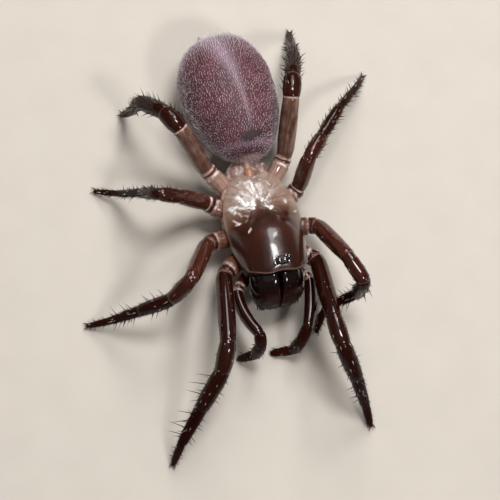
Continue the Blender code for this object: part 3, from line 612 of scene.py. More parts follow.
# %% sizes of the jaws
# Rings by distance ahead of the shield: half width, half height and height of the middle.
JAW_AHEAD = (-0.3, 0.09, 0.22, 0.56, 0.96, 1.22, 1.39, 1.46, 1.475)
JAW_HALF_WIDTHS = (0.5, 0.53, 0.6, 0.635, 0.6, 0.5, 0.345, 0.19, 0.04)
JAW_HALF_HEIGHTS = (0.8, 0.9, 0.99, 1.01, 0.93, 0.77, 0.53, 0.3, 0.06)
JAW_MIDDLES = (0.06, 0.09, 0.12, 0.07, -0.07, -0.21, -0.33, -0.38, -0.39)
JAW_HALF_WIDTH = max(JAW_HALF_WIDTHS)
JAW_OUTER_SQUARENESS = 1.0
JAW_INNER_SQUARENESS = 0.42
JAW_GAP = 0.02
JAW_SLOPE = 0.35
JAW_FRONT_SHIFT = 0.05
JAW_RINGS = 40
JAW_SIDES = 44
RAKE_TEETH = 8
RAKE_SPAN = (0.24, 0.96)
RAKE_ROOT = Vector((0.0, SHIELD_FRONT - 1.2, -0.54))
RAKE_HEADING = Vector((0.0, -0.6, -0.8))
RAKE_LENGTH = 0.34
RAKE_RADIUS = 0.05
TOOTH_SHARES = (0.0, 0.3, 0.6, 0.85, 1.0)
TOOTH_BOW = 0.12
TOOTH_TIP = 0.08
TOOTH_SIDES = 10


# %% jaw material
def jaw_material():
    """Thick polished chitin: black and mirror-like, browner and duller at its front end."""
    mat, tree, shader, in_mm = surface(
        "jaw_chitin", coat_roughness=0.05, coat_ior=1.5, specular_ior_level=0.1
    )
    place = add(tree, "Attribute", {}, attribute_name="jaw").outputs["Vector"]
    _, share, _ = add(tree, "SeparateXYZ", {0: place}).outputs
    blotches = {"Vector": in_mm, "Scale": 2.6, "Detail": 6.0, "Roughness": 0.6}
    mottle = add(tree, "TexNoise", blotches).outputs[0]
    ahead = add(tree, "Math", {0: mottle, 1: 0.35, 2: share}, operation="MULTIPLY_ADD").outputs[0]
    tone = add(
        tree,
        "ValToRGB",
        {0: ahead},
        stops=((0.15, "#0b0302"), (0.75, "#110403"), (0.92, "#1f0b06"), (1.0, "#29110a")),
    ).outputs[0]
    pits = add(tree, "TexVoronoi", {"Vector": in_mm, "Scale": 9.0}, feature="F1").outputs["Distance"]
    sockets = add(tree, "MapRange", {"Value": pits, "From Min": 0.04, "From Max": 0.16}).outputs[0]
    waves = {"Vector": in_mm, "Scale": 3.2, "Detail": 3.0, "Roughness": 0.4}
    wrinkles = add(tree, "TexNoise", waves).outputs[0]
    height = add(tree, "Math", {0: sockets, 1: 0.12, 2: wrinkles}, operation="MULTIPLY_ADD").outputs[0]
    rough, wax = (
        add(tree, "MapRange", {"Value": ahead, **dict(zip(RANGE_ENDS, values))}).outputs[0]
        for values in ((0.7, 1.1, 0.12, 0.34), (0.6, 0.95, 1.0, 0.04))
    )
    dress(tree, shader, tone, height, 0.6, 0.06, roughness=rough, coat_weight=wax)
    return mat


# %% jaw shape
def jaw_ring(sign, ahead, sides):
    """One ring of a jaw, bowed back at its outer side like the shield's edge."""
    half_width, half_height, middle = (
        curve_at(tuple(zip(JAW_AHEAD, sizes)), ahead)
        for sizes in (JAW_HALF_WIDTHS, JAW_HALF_HEIGHTS, JAW_MIDDLES)
    )
    x = JAW_GAP + half_width + JAW_FRONT_SHIFT * (JAW_HALF_WIDTH - half_width)
    points = []
    for k in range(sides):
        turn = math.tau * k / sides
        power = JAW_OUTER_SQUARENESS if math.cos(turn) > 0.0 else JAW_INNER_SQUARENESS
        out = squared(math.cos(turn), power) * half_width
        high = squared(math.sin(turn), power) * half_height
        points.append(Vector((sign * (x + out), SHIELD_FRONT - ahead, middle + high)))
    for point in points:
        outer = abs(point.x) / (2.0 * JAW_HALF_WIDTH)
        above = max(0.0, point.z - middle) / half_height
        point.z -= JAW_SLOPE * outer * above
        point.y += FRONT_BOW * outer**2 * max(0.0, 1.0 - max(ahead, 0.0))
    return points


def tooth_rings(root_point, way, length, radius, sides):
    """Rings of a tapered, slightly bowed spike."""
    side = way.orthogonal().normalized()
    up = way.cross(side)
    rings = []
    for share in TOOTH_SHARES:
        bow = Vector((0.0, 0.0, -TOOTH_BOW * length * share * share))
        size = radius * (1.0 - share) ** 0.7 + radius * TOOTH_TIP
        rings.append(ring_points(root_point + way * (length * share) + bow, side, up, (size, size), sides))
    return rings


def build_jaws(mat):
    first, last = JAW_AHEAD[0], JAW_AHEAD[-1]
    pieces = []
    for name, sign in SIDES.items():
        bm = bmesh.new()
        layer = bm.verts.layers.float_vector.new("jaw")
        rings = []
        places = []
        for k in range(JAW_RINGS + 1):
            share = math.sin(math.pi / 2.0 * k / JAW_RINGS)
            places.append(first + (last - first) * share)
            rings.append(jaw_ring(sign, places[-1], JAW_SIDES))
        for i, verts in enumerate(sweep(bm, rings)):
            for k, vert in enumerate(verts):
                up = math.sin(math.tau * k / JAW_SIDES)
                vert[layer] = (math.cos(math.tau * k / JAW_SIDES), places[i] / last, up)
        way = RAKE_HEADING.normalized()
        for k in range(RAKE_TEETH):
            x = RAKE_SPAN[0] + (RAKE_SPAN[1] - RAKE_SPAN[0]) * k / (RAKE_TEETH - 1)
            root_point = Vector((sign * x, RAKE_ROOT.y, RAKE_ROOT.z + 0.05 * math.sin(5.0 * k)))
            sweep(bm, tooth_rings(root_point, way, RAKE_LENGTH, RAKE_RADIUS, TOOTH_SIDES))
        pieces.append(place_piece("jaw_" + name, bm, mat, TRUNK, ["chelicera_" + name]))
    return pieces


jaw_pieces = build_jaws(jaw_material())


# %% fangs
FANG_PATH = (
    Vector((0.6, -6.2, -1.12)),
    Vector((0.6, -6.02, -1.36)),
    Vector((0.56, -5.6, -1.44)),
    Vector((0.48, -5.1, -1.34)),
)
FANG_RADII = (0.17, 0.14, 0.09, 0.02)
FANG_RINGS = 18
FANG_SIDES = 16


def fang_material():
    """The hardest chitin, polished: black with reddish brown clouds."""
    mat, tree, shader, in_mm = surface("hook_chitin", coat_weight=1.0, coat_roughness=0.04, roughness=0.2)
    rings = add(tree, "TexNoise", {"Vector": in_mm, "Scale": 4.0, "Detail": 5.0}).outputs[0]
    tone = add(tree, "ValToRGB", {0: rings}, stops=((0.3, "#0b0403"), (0.75, "#3a140c"))).outputs[0]
    dress(tree, shader, tone, rings, 0.2, 0.01)
    return mat


def fang_place(share):
    """A point on the left fang's middle line."""
    places = [i / (len(FANG_PATH) - 1) for i in range(len(FANG_PATH))]
    return Vector([curve_at(tuple(zip(places, axis)), share) for axis in zip(*FANG_PATH)])


def build_fangs(mat):
    radii = tuple((i / (len(FANG_RADII) - 1), size) for i, size in enumerate(FANG_RADII))
    for name, sign in SIDES.items():
        rings = []
        for k in range(FANG_RINGS + 1):
            share = k / FANG_RINGS
            at = fang_place(share)
            way = (fang_place(share + 0.02) - at).normalized()
            radius = curve_at(radii, share)
            centre = Vector((sign * at.x, at.y, at.z))
            up = Vector((0.0, way.z, -way.y)).normalized()
            rings.append(ring_points(centre, X_AXIS, up, (radius, radius), FANG_SIDES))
        bm = bmesh.new()
        sweep(bm, rings)
        place_piece("fang_hook_" + name, bm, mat, TRUNK, ["fang_" + name])


hook_skin = fang_material()
build_fangs(hook_skin)


# %% [markdown]
# ## Underside and waist
#
# Between shield and legs the body is closed by soft pale skin, folded so that
# the legs can swing. Beneath lies the brown breast plate (sternum). Both are one
# skin here, coloured by height and by place. The waist (pedicel) is a short
# glossy amber stalk.

# %% sizes of the underside
PLATE_TOP = -0.06
PLATE_BOTTOM = -1.2
# Places along the body and half widths there, from the rear to the mouth.
PLATE_STATIONS = (
    (0.62, 0.62), (0.3, 0.9), (-0.2, 1.02), (-0.8, 1.38),
    (-1.9, 1.66), (-3.2, 1.58), (-4.2, 1.14), (-4.95, 0.72),
)
PLATE_SQUARENESS = 0.6
PLATE_FLARE = 0.1
PLATE_RINGS = 60
PLATE_SIDES = 64
REAR_DROP = 0.1
NECK_FOLDS = 0.16
SIDE_FOLDS = 0.03


# %% underside material
def membrane_material():
    """Soft folded skin, pale with a satin shine, and the harder brown plate below."""
    mat, tree, shader, in_mm = surface(
        "body_membrane",
        coat_weight=0.35,
        coat_roughness=0.15,
        subsurface_weight=0.12,
        subsurface_scale=0.0004,
    )
    place = add(tree, "Attribute", {}, attribute_name="plate").outputs["Vector"]
    across, along, up = add(tree, "SeparateXYZ", {0: place}).outputs
    wrinkles = {"Vector": in_mm, "Scale": 4.0, "Detail": 7.0, "Roughness": 0.6}
    folds = add(tree, "TexNoise", wrinkles).outputs[0]
    soft, neck, hard = (
        add(tree, "ValToRGB", {0: folds}, stops=stops).outputs[0]
        for stops in (
            ((0.25, "#7c4a3b"), (0.5, "#aa7a69"), (0.75, "#dcc4ba")),
            ((0.3, "#76524b"), (0.5, "#a2827b"), (0.7, "#dccac4")),
            ((0.3, "#3f2018"), (0.7, "#6b4032")),
        )
    )
    lateral = add(tree, "Math", {0: across}, operation="ABSOLUTE").outputs[0]
    edge = add(tree, "Math", {0: folds, 1: 0.12, 2: lateral}, operation="MULTIPLY_ADD").outputs[0]
    behind, within = (
        add(tree, "MapRange", {"Value": value, "From Min": low, "From Max": high}, **SOFT).outputs[0]
        for value, low, high in ((along, 0.2, 0.12), (edge, 0.78, 0.7))
    )
    below = add(tree, "MapRange", {"Value": up, "From Min": -0.55, "From Max": -0.75}).outputs[0]
    sternum = add(tree, "Math", {0: within, 1: below}, operation="MULTIPLY").outputs[0]
    colour = soft
    for share, tone in ((behind, neck), (sternum, hard)):
        colour = add(tree, "Mix", {0: share, 6: colour, 7: tone}, data_type="RGBA").outputs[2]
    rough = add(tree, "MapRange", {"Value": folds, "To Min": 0.25, "To Max": 0.5}).outputs[0]
    dress(tree, shader, colour, folds, 0.9, 0.08, roughness=rough)
    return mat


# %% underside shape
def build_underside(mat):
    bm = bmesh.new()
    layer = bm.verts.layers.float_vector.new("plate")
    middle = (PLATE_TOP + PLATE_BOTTOM) / 2.0
    half_height = (PLATE_TOP - PLATE_BOTTOM) / 2.0
    first, last = PLATE_STATIONS[0][0], PLATE_STATIONS[-1][0]
    ahead_curve = tuple((-y, half) for y, half in PLATE_STATIONS)
    rings = []
    for k in range(PLATE_RINGS + 1):
        y = first + (last - first) * k / PLATE_RINGS
        half = curve_at(ahead_curve, -y)
        centre = Vector((0.0, y, middle))
        points = ring_points(centre, X_AXIS, Z_AXIS, (half, half_height), PLATE_SIDES, PLATE_SQUARENESS)
        for point in points:
            point.x *= 1.0 + PLATE_FLARE * (point.z - middle) / half_height
            if point.z > middle:
                point.z -= REAR_DROP * smooth_step(y, -0.5, 0.0)
            point.x *= 1.0 + SIDE_FOLDS * noise.noise(point * 2.6)
            point.z += NECK_FOLDS * noise.noise(point * 3.6) * smooth_step(y, -0.6, 0.0)
        rings.append(points)
    for i, verts in enumerate(sweep(bm, rings)):
        half = curve_at(ahead_curve, -(first + (last - first) * i / PLATE_RINGS))
        for vert in verts:
            vert[layer] = (vert.co.x / half, i / PLATE_RINGS, (vert.co.z - middle) / half_height)
    return place_piece("underside_skin", bm, mat, TRUNK, ["breast_plate"])


underside_piece = build_underside(membrane_material())


# %% waist
ABDOMEN_FRONT = 0.38
WAIST_RADIUS = 0.3
WAIST_FRONT = -0.3
WAIST_REAR = ABDOMEN_FRONT + 0.1
WAIST_HEIGHT = -0.12
WAIST_RINGS = 40
WAIST_SIDES = 32
WAIST_BALL_AT = 0.33


def waist_material():
    """Thin wet-looking skin, amber on the ball of the stalk and pale beside it."""
    mat, tree, shader, in_mm = surface(
        "amber_joint_skin",
        coat_weight=1.0,
        coat_roughness=0.05,
        subsurface_weight=0.2,
        subsurface_scale=0.0004,
        roughness=0.3,
    )
    stalk = add(tree, "Attribute", {}, attribute_name="stalk").outputs["Vector"]
    ball = add(tree, "SeparateXYZ", {0: stalk}).outputs[0]
    clouds = add(tree, "TexNoise", {"Vector": in_mm, "Scale": 3.5, "Detail": 5.0}).outputs[0]
    amber = add(
        tree, "ValToRGB", {0: clouds}, stops=((0.3, "#84451f"), (0.55, "#b06c3c"), (0.8, "#d09a70"))
    ).outputs[0]
    pale = add(tree, "ValToRGB", {0: clouds}, stops=((0.3, "#a07a6c"), (0.7, "#d3b6a8"))).outputs[0]
    tone = add(tree, "Mix", {0: ball, 6: pale, 7: amber}, data_type="RGBA").outputs[2]
    dress(tree, shader, tone, clouds, 0.4, 0.03)
    return mat


def build_waist(mat):
    rings = []
    for k in range(WAIST_RINGS + 1):
        share = k / WAIST_RINGS
        swell = 0.5 + 0.28 * bell(share - WAIST_BALL_AT, 0.17) + 0.2 * smooth_step(share, 0.65, 1.0)
        centre = Vector((0.0, WAIST_FRONT + (WAIST_REAR - WAIST_FRONT) * share, WAIST_HEIGHT))
        radii = (WAIST_RADIUS * swell, WAIST_RADIUS * swell)
        rings.append(ring_points(centre, X_AXIS, Z_AXIS, radii, WAIST_SIDES))
    bm = bmesh.new()
    layer = bm.verts.layers.float_vector.new("stalk")
    for k, verts in enumerate(sweep(bm, rings)):
        for vert in verts:
            vert[layer] = (bell(k / WAIST_RINGS - WAIST_BALL_AT, 0.16), k / WAIST_RINGS, 0.0)
    place_piece("waist_stalk", bm, mat, TRUNK, ["pedicel"])


build_waist(waist_material())


# %% [markdown]
# ## Abdomen
#
# The abdomen is a soft bag, so its skin has no hard gloss. Three markings lie on
# it: a pale stripe over the heart that widens to the rear, a small bare dark
# plate (tergite) near the front, and a paler band of hair in front of that
# plate. The rear end is as pale as the band. All are worked out once for each
# vertex, so the skin and later its coat of hair carry the same markings.

# %% sizes of the abdomen
ABDOMEN_LENGTH = 6.1
ABDOMEN_HALF_WIDTH = 2.25
ABDOMEN_HALF_HEIGHT = 1.98
ABDOMEN_RISE = 0.38
ABDOMEN_SHIFT = -0.2
ABDOMEN_SWAY = -0.16
ABDOMEN_REAR_SWELL = 0.2
ABDOMEN_BLUNTNESS = 0.86
ABDOMEN_RINGS = 110
ABDOMEN_SIDES = 120
SKIN_SINK = 0.03
PLATE_AT = (0.04, 0.12)
PLATE_HALF = (0.25, 0.036)
BAND_AT = 0.075
BAND_HALF = 0.022
POLE_GAP = 0.012
# Depth in mm for each mm of radius, and waves a millimetre, of the dimples.
DIMPLES = ((0.025, 1.3), (0.008, 4.0))
TOP_SIDE = (0.1, 0.5)
STRIPE_ASIDE = 0.07
STRIPE_SWAY = 0.55
STRIPE_TURN_AT = 0.25
STRIPE_HALF = 0.035
STRIPE_GROWTH = 0.16


# %% abdomen shape
def abdomen_ring(share):
    """Centre and radii of the abdomen at a share of its length."""
    turn = math.acos(max(-1.0, min(1.0, 1.0 - 2.0 * share)))
    swell = max(0.0, math.sin(turn)) ** ABDOMEN_BLUNTNESS
    fullness = 1.0 + ABDOMEN_REAR_SWELL * (share - 0.5)
    x = ABDOMEN_SHIFT * math.sin(turn) - ABDOMEN_SWAY * math.cos(turn)
    centre = Vector((x, ABDOMEN_FRONT + ABDOMEN_LENGTH * share, ABDOMEN_RISE))
    return centre, (ABDOMEN_HALF_WIDTH * swell * fullness, ABDOMEN_HALF_HEIGHT * swell)


def abdomen_marks(across, share, up):
    """Stripe, bare plate and pale hair band at a place on the abdomen."""
    top = smooth_step(up, *TOP_SIDE)
    line = STRIPE_ASIDE - STRIPE_SWAY * (share - STRIPE_TURN_AT) ** 2
    half = STRIPE_HALF + STRIPE_GROWTH * smooth_step(share, 0.3, 1.0)
    stripe = (1.0 - smooth_step(abs(across - line), 0.0, 1.9 * half)) * top
    stripe *= smooth_step(share, 0.14, 0.26) * (0.65 + 0.35 * smooth_step(share, 0.5, 0.9))
    slant = 0.05 * (across - PLATE_AT[0])
    off_x = (across - PLATE_AT[0]) / PLATE_HALF[0]
    off_y = (share - PLATE_AT[1] - slant) / PLATE_HALF[1]
    plate = (1.0 - smooth_step(math.hypot(off_x, off_y), 0.85, 1.1)) * top
    band = bell(share - BAND_AT - 0.04 * across * across, BAND_HALF)
    band *= smooth_step(1.0 - abs(across), 0.05, 0.4)
    rear = smooth_step(share, 0.8, 1.0) * (1.0 - smooth_step(across, 0.0, 0.8))
    return stripe, plate, min(1.0, band * top + 0.8 * rear)


def build_abdomen(mat):
    bm = bmesh.new()
    egg = bm.verts.layers.float_vector.new("egg")
    marks = bm.verts.layers.float_vector.new("marks")
    rings = []
    shares = []
    for k in range(ABDOMEN_RINGS + 1):
        turn = math.pi * (POLE_GAP + (1.0 - 2.0 * POLE_GAP) * k / ABDOMEN_RINGS)
        share = (1.0 - math.cos(turn)) / 2.0
        centre, radii = abdomen_ring(share)
        radii = (max(0.01, radii[0] - SKIN_SINK), max(0.01, radii[1] - SKIN_SINK))
        points = ring_points(centre, X_AXIS, Z_AXIS, radii, ABDOMEN_SIDES)
        for point in points:
            dimple = sum(depth * noise.noise(point * pace) for depth, pace in DIMPLES)
            point += (point - centre) * dimple * math.sin(turn)
        rings.append(points)
        shares.append(share)
    for i, verts in enumerate(sweep(bm, rings)):
        for k, vert in enumerate(verts):
            across = math.cos(math.tau * k / ABDOMEN_SIDES)
            up = math.sin(math.tau * k / ABDOMEN_SIDES)
            wide = math.sin(math.acos(1.0 - 2.0 * shares[i]))
            vert[egg] = (across * wide, shares[i], up)
            vert[marks] = abdomen_marks(across * wide, shares[i], up)
    return place_piece("abdomen_skin", bm, mat, TRUNK, ["abdomen"])


# %% [markdown]
# ## Material of the abdomen
#
# The skin under the velvet is purple-brown, darkened low on the flanks by painted
# shade, and pale where it meets the waist. A slight sheen stands for the finest
# down, which is too small to build. Markings are painted over each other as thin
# layers would be, each with its own colour, and the bare plate is dark brown.

# %% abdomen material
def abdomen_material():
    mat, tree, shader, in_mm = surface(
        "abdomen_skin_velvet", roughness=0.6, sheen_weight=0.1, sheen_roughness=0.4
    )
    egg, marks = (
        add(tree, "Attribute", {}, attribute_name=field).outputs["Vector"] for field in ("egg", "marks")
    )
    _, along, up = add(tree, "SeparateXYZ", {0: egg}).outputs
    stripe, plate, band = add(tree, "SeparateXYZ", {0: marks}).outputs
    clouds, speckle = (
        add(
            tree, "TexNoise", {"Vector": in_mm, "Scale": scale, "Detail": fine, "Roughness": rough}
        ).outputs[0]
        for scale, fine, rough in ((1.1, 6.0, 0.6), (9.0, 4.0, 0.7))
    )
    # Painted shade: the skin is darker low on the flanks, where the body's own shadow falls.
    low = add(tree, "MapRange", {"Value": up, "From Min": 0.35, "From Max": -0.5}).outputs[0]
    front = add(tree, "MapRange", {"Value": along, "From Min": 0.024, "From Max": 0.004}, **SOFT).outputs[0]
    dust = {"Value": speckle, "From Min": 0.5, "From Max": 0.75, "To Max": 0.3}
    dusted = add(tree, "MapRange", dust).outputs[0]
    layers = (
        (low, "#3a1c1a"),
        (front, "#ad8880"),
        (stripe, "#846a78"),
        (band, "#6f5561"),
        (plate, "#342022"),
        (dusted, "#7d5b63"),
    )
    colour = add(
        tree, "ValToRGB", {0: clouds}, stops=((0.25, "#351119"), (0.5, "#491923"), (0.75, "#5d2732"))
    ).outputs[0]
    for share, code in layers:
        colour = add(tree, "Mix", {0: share, 6: colour, 7: linear(code)}, data_type="RGBA").outputs[2]
    height = add(tree, "Math", {0: speckle, 1: 0.5, 2: clouds}, operation="MULTIPLY_ADD").outputs[0]
    dress(tree, shader, colour, height, 0.5, 0.04)
    return mat


abdomen_piece = build_abdomen(abdomen_material())


# %% [markdown]
# ## Spinnerets
#
# Two silk fingers point back under the rear end. Each has three joints, and is
# pale, matt and hairy.

# %% spinnerets
SPINNERET_ROOT = Vector((0.42, ABDOMEN_FRONT + 0.88 * ABDOMEN_LENGTH, -0.42))
SPINNERET_LENGTHS = (0.55, 0.42, 0.38)
SPINNERET_RADII = (0.24, 0.19, 0.15, 0.06)
SPINNERET_HEADING = Vector((0.16, 1.0, -0.45))
SPINNERET_LIFT = Vector((0.0, 0.06, 0.12))
SPINNERET_SHARES = (0.02, 0.08, 0.2, 0.4, 0.6, 0.8, 0.9, 0.97)
SPINNERET_SIDES = 20


def spinneret_material():
    """Soft tan skin, matt under its fine down."""
    mat, tree, shader, in_mm = surface("spinneret_skin", roughness=0.55, sheen_weight=0.2)
    clouds = add(tree, "TexNoise", {"Vector": in_mm, "Scale": 5.0, "Detail": 6.0}).outputs[0]
    tone = add(tree, "ValToRGB", {0: clouds}, stops=((0.3, "#6a4c42"), (0.7, "#a4867a"))).outputs[0]
    dress(tree, shader, tone, clouds, 0.5, 0.03)
    return mat


def build_spinnerets(mat):
    pieces = []
    for name, sign in SIDES.items():
        turn = Vector((SPINNERET_HEADING.x * sign, SPINNERET_HEADING.y, SPINNERET_HEADING.z)).normalized()
        joint = Vector((SPINNERET_ROOT.x * sign, SPINNERET_ROOT.y, SPINNERET_ROOT.z))
        bm = bmesh.new()
        rings = []
        for i, length in enumerate(SPINNERET_LENGTHS):
            side = (X_AXIS - turn * X_AXIS.dot(turn)).normalized()
            up = turn.cross(side)
            own, following = SPINNERET_RADII[i], SPINNERET_RADII[i + 1]
            for share in SPINNERET_SHARES:
                size = own * (0.86 + 0.14 * smooth_step(share, 0.0, 0.2)) + (following - own) * share**3
                centre = joint + turn * (length * share)
                rings.append(ring_points(centre, side, up, (size, size), SPINNERET_SIDES))
            joint = joint + turn * length
            turn = (turn + SPINNERET_LIFT).normalized()
        finger = bm.verts.layers.float_vector.new("finger")
        for i, verts in enumerate(sweep(bm, rings)):
            for k, vert in enumerate(verts):
                turn = math.tau * k / len(verts)
                vert[finger] = (math.cos(turn), i / len(rings), math.sin(turn))
        nodes = ["spinneret_" + name]
        pieces.append(place_piece("spinneret_finger_" + name, bm, mat, TRUNK, nodes))
    return pieces


spinneret_pieces = build_spinnerets(spinneret_material())


# %% [markdown]
# ## Sizes of legs and feelers
#
# A spider's leg has seven segments: coxa, trochanter, femur, patella, tibia,
# metatarsus and tarsus. A feeler (palp) lacks the metatarsus. A pose holds a
# heading for each segment past the hip, turned from straight ahead towards the
# animal's left, and a rise for all but the last, whose foot reaches the ground.

# %% sizes of the limbs
HIPS = {
    1: Vector((2.25, -4.6, -0.34)),
    2: Vector((2.65, -3.0, -0.36)),
    3: Vector((2.25, -1.05, -0.4)),
    4: Vector((1.92, 0.52, -0.3)),
    "palp": Vector((1.74, -5.4, -0.62)),
}
COXA_ROOTS = {
    1: Vector((1.0, -3.7, -0.72)),
    2: Vector((1.15, -2.78, -0.72)),
    3: Vector((1.12, -1.82, -0.68)),
    4: Vector((0.85, -0.85, -0.68)),
    "palp": Vector((0.9, -4.54, -0.8)),
}
LENGTHS = {
    1: (3.85, 1.4, 2.05, 2.0, 1.3),
    2: (3.22, 1.45, 1.82, 1.88, 1.3),
    3: (2.05, 1.45, 1.82, 2.25, 1.4),
    4: (3.5, 1.15, 2.0, 2.15, 1.2),
    "palp": (2.5, 0.83, 1.2, 1.1),
}
WIDTHS = {
    1: (0.86, 0.82, 0.78, 0.6, 0.4),
    2: (0.8, 0.72, 0.66, 0.5, 0.34),
    3: (0.78, 0.68, 0.56, 0.4, 0.3),
    4: (0.86, 0.86, 0.78, 0.58, 0.4),
    "palp": (0.58, 0.56, 0.58, 0.46),
}
COXA_WIDTHS = {1: 0.88, 2: 0.88, 3: 0.88, 4: 0.88, "palp": 0.6}
TROCHANTER_WIDTHS = {1: 0.86, 2: 0.86, 3: 0.86, 4: 0.86, "palp": 0.6}
TROCHANTER_LENGTHS = {1: 0.42, 2: 0.42, 3: 0.42, 4: 0.42, "palp": 0.3}


# %% pose of the limbs
POSES = {
    ("right", 1): ((-12, -22, -43, -42, -33), (26, -24, -32, -35)),
    ("right", 2): ((-35, -59, -91, -95, -97), (43, -40, -40, -48)),
    ("right", 3): ((-95, -94, -138, -130, -118), (51, 42, -63, -63)),
    ("right", 4): ((-138, -152, -143, -137, -125), (61, -10, -47, -84)),
    ("left", 1): ((-5, 3, 20, 24, 11), (34, 8, -43, -59)),
    ("left", 2): ((15, 20, -50, -86, -30), (46, 2, -84, -43)),
    ("left", 3): ((153, 138, 137, 132, 140), (65, -17, -13, -38)),
    ("left", 4): ((168, 162, 160, 162, 163), (56, -14, -42, -59)),
    ("right", "palp"): ((11, 5, -55, -100), (21, -58, -79)),
    ("left", "palp"): ((-17, -36, -66, -97), (16, -47, -75)),
}
PALP_BOWS = {("right", "palp"): 0.2, ("left", "palp"): 0.08}
FOOT_CENTRE = 0.07


# %% profiles of the segments
LEG_KINDS = ("coxa", "trochanter", "femur", "patella", "tibia", "metatarsus", "tarsus")
PALP_KINDS = ("coxa", "trochanter", "femur", "patella", "tibia", "tarsus")
PROFILES = {
    "coxa": ((0.0, 0.86), (0.5, 1.0), (0.9, 0.97), (1.0, 0.93)),
    "trochanter": ((0.0, 0.86), (0.35, 0.96), (0.75, 0.95), (1.0, 0.88)),
    "femur": ((0.0, 0.82), (0.1, 0.94), (0.35, 1.0), (0.7, 0.98), (0.93, 0.91), (1.0, 0.88)),
    "patella": ((0.0, 0.86), (0.14, 0.97), (0.5, 1.04), (0.88, 0.98), (1.0, 0.93)),
    "tibia": ((0.0, 0.88), (0.14, 1.0), (0.55, 1.0), (0.9, 0.91), (1.0, 0.86)),
    "metatarsus": ((0.0, 0.88), (0.1, 1.0), (0.5, 0.92), (0.9, 0.8), (1.0, 0.76)),
    "tarsus": ((0.0, 0.9), (0.12, 1.0), (0.6, 0.86), (0.9, 0.66), (0.97, 0.44), (1.0, 0.2)),
}


# %% [markdown]
# ## Skin of the limbs
#
# Each limb is one skin from coxa to foot, so no seam shows between the CAD
# nodes it replaces. Its middle line runs through the joints and is rounded off
# by averaging a short stretch of it. Radii follow the profile of each segment,
# with a groove and a raised rim at every joint, where real segments are joined
# by soft skin. Each vertex keeps where it is on the limb, the direction to the
# foot, and how pale, how soft and how bristly it is; the soft skin is drawn
# pale, with a painted highlight on it.

# %% sizes of the joints
LIMB_SIDES = 28
LIMB_STEP = 0.07
JOINT_STEPS = (-0.1, -0.07, -0.045, -0.02, 0.0, 0.02, 0.045, 0.07, 0.1)
FOOT_STEPS = (0.0, 0.01, 0.03, 0.05)
GROOVE_WIDTHS = (0.04, 0.06)
GROOVE_STRENGTH = {
    "coxa": 0.12,
    "trochanter": 0.1,
    "femur": 0.06,
    "patella": 0.04,
    "tibia": 0.04,
    "metatarsus": 0.02,
}
JOINT_RIM_BACK = 0.1
JOINT_RIM_SHARE = 0.4
STEP_ROUNDING = 0.16
SKIN_SHARE = 0.98
ROUNDING_STEPS = 6
SOFT_STEPS = 4
ROUNDING = {1: 0.38, 2: 0.38, 3: 0.42, 4: 0.46, "palp": 0.26}
NODE_ENDS = {"palp": ("femur", "tarsus"), "leg": ("femur", "tibia", "tarsus")}


# %% shades and bristles of the limbs
# How pale the shell of each segment is, how bristly it is, and how much soft skin its far joint shows, drawn
# pale with a painted highlight.
PAIR_TONES = {
    "coxa": {1: 0.66, 2: 0.7, 3: 0.82, 4: 0.92, "palp": 0.4},
    "trochanter": {1: 0.3, 2: 0.36, 3: 0.3, 4: 0.6, "palp": 0.25},
    "femur": {1: 0.12, 2: 0.42, 3: 0.4, 4: 0.78, "palp": 0.08},
}
KIND_TONES = {"patella": 0.2, "tibia": 0.12, "metatarsus": 0.1, "tarsus": 0.2}
KIND_BRISTLES = {
    "coxa": 0.1,
    "trochanter": 0.12,
    "femur": 0.16,
    "patella": 0.35,
    "tibia": 0.68,
    "metatarsus": 0.9,
    "tarsus": 1.0,
}
PALP_BRISTLES = 0.9
REAR_PATELLA_BRISTLES = 0.5
JOINT_SKIN_AND_GLINT = {
    "coxa": 0.95,
    "trochanter": 0.9,
    "femur": 0.36,
    "patella": 0.08,
    "tibia": 0.06,
    "metatarsus": 0.04,
}
KNEE_SKIN_AND_GLINT = 0.85
PAIR_SKIN_AND_GLINT = {1: 0.62, 2: 0.62, 3: 0.78, 4: 1.15, "palp": 0.7}
HIP_SKIN_WIDTH = {1: 0.12, 2: 0.12, 3: 0.12, 4: 0.15, "palp": 0.12}
KNEE_SKIN_WIDTH = 0.05


# %% limb paths
def heading(turn, rise):
    """Unit direction from a heading and a rise in degrees."""
    turn, rise = math.radians(turn), math.radians(rise)
    return Vector((math.sin(turn) * math.cos(rise), -math.cos(turn) * math.cos(rise), math.sin(rise)))


def limb_joints(side, pair):
    """Joint positions of a limb from coxa to foot, measured from the ground."""
    mirror = Matrix.Diagonal((SIDES[side], 1.0, 1.0, 1.0))
    hip = BODY @ mirror @ HIPS[pair]
    coxa = BODY @ mirror @ COXA_ROOTS[pair]
    turns, rises = POSES[(side, pair)]
    lengths = LENGTHS[pair]
    trochanter = hip + (coxa - hip).normalized() * TROCHANTER_LENGTHS[pair]
    joints = [coxa, trochanter, hip]
    for turn, rise, length in zip(turns, rises, lengths):
        joints.append(joints[-1] + heading(turn, rise) * length)
    drop = (joints[-1].z - FOOT_CENTRE) / lengths[-1]
    last_rise = -math.degrees(math.asin(drop))
    joints.append(joints[-1] + heading(turns[-1], last_rise) * lengths[-1])
    return joints


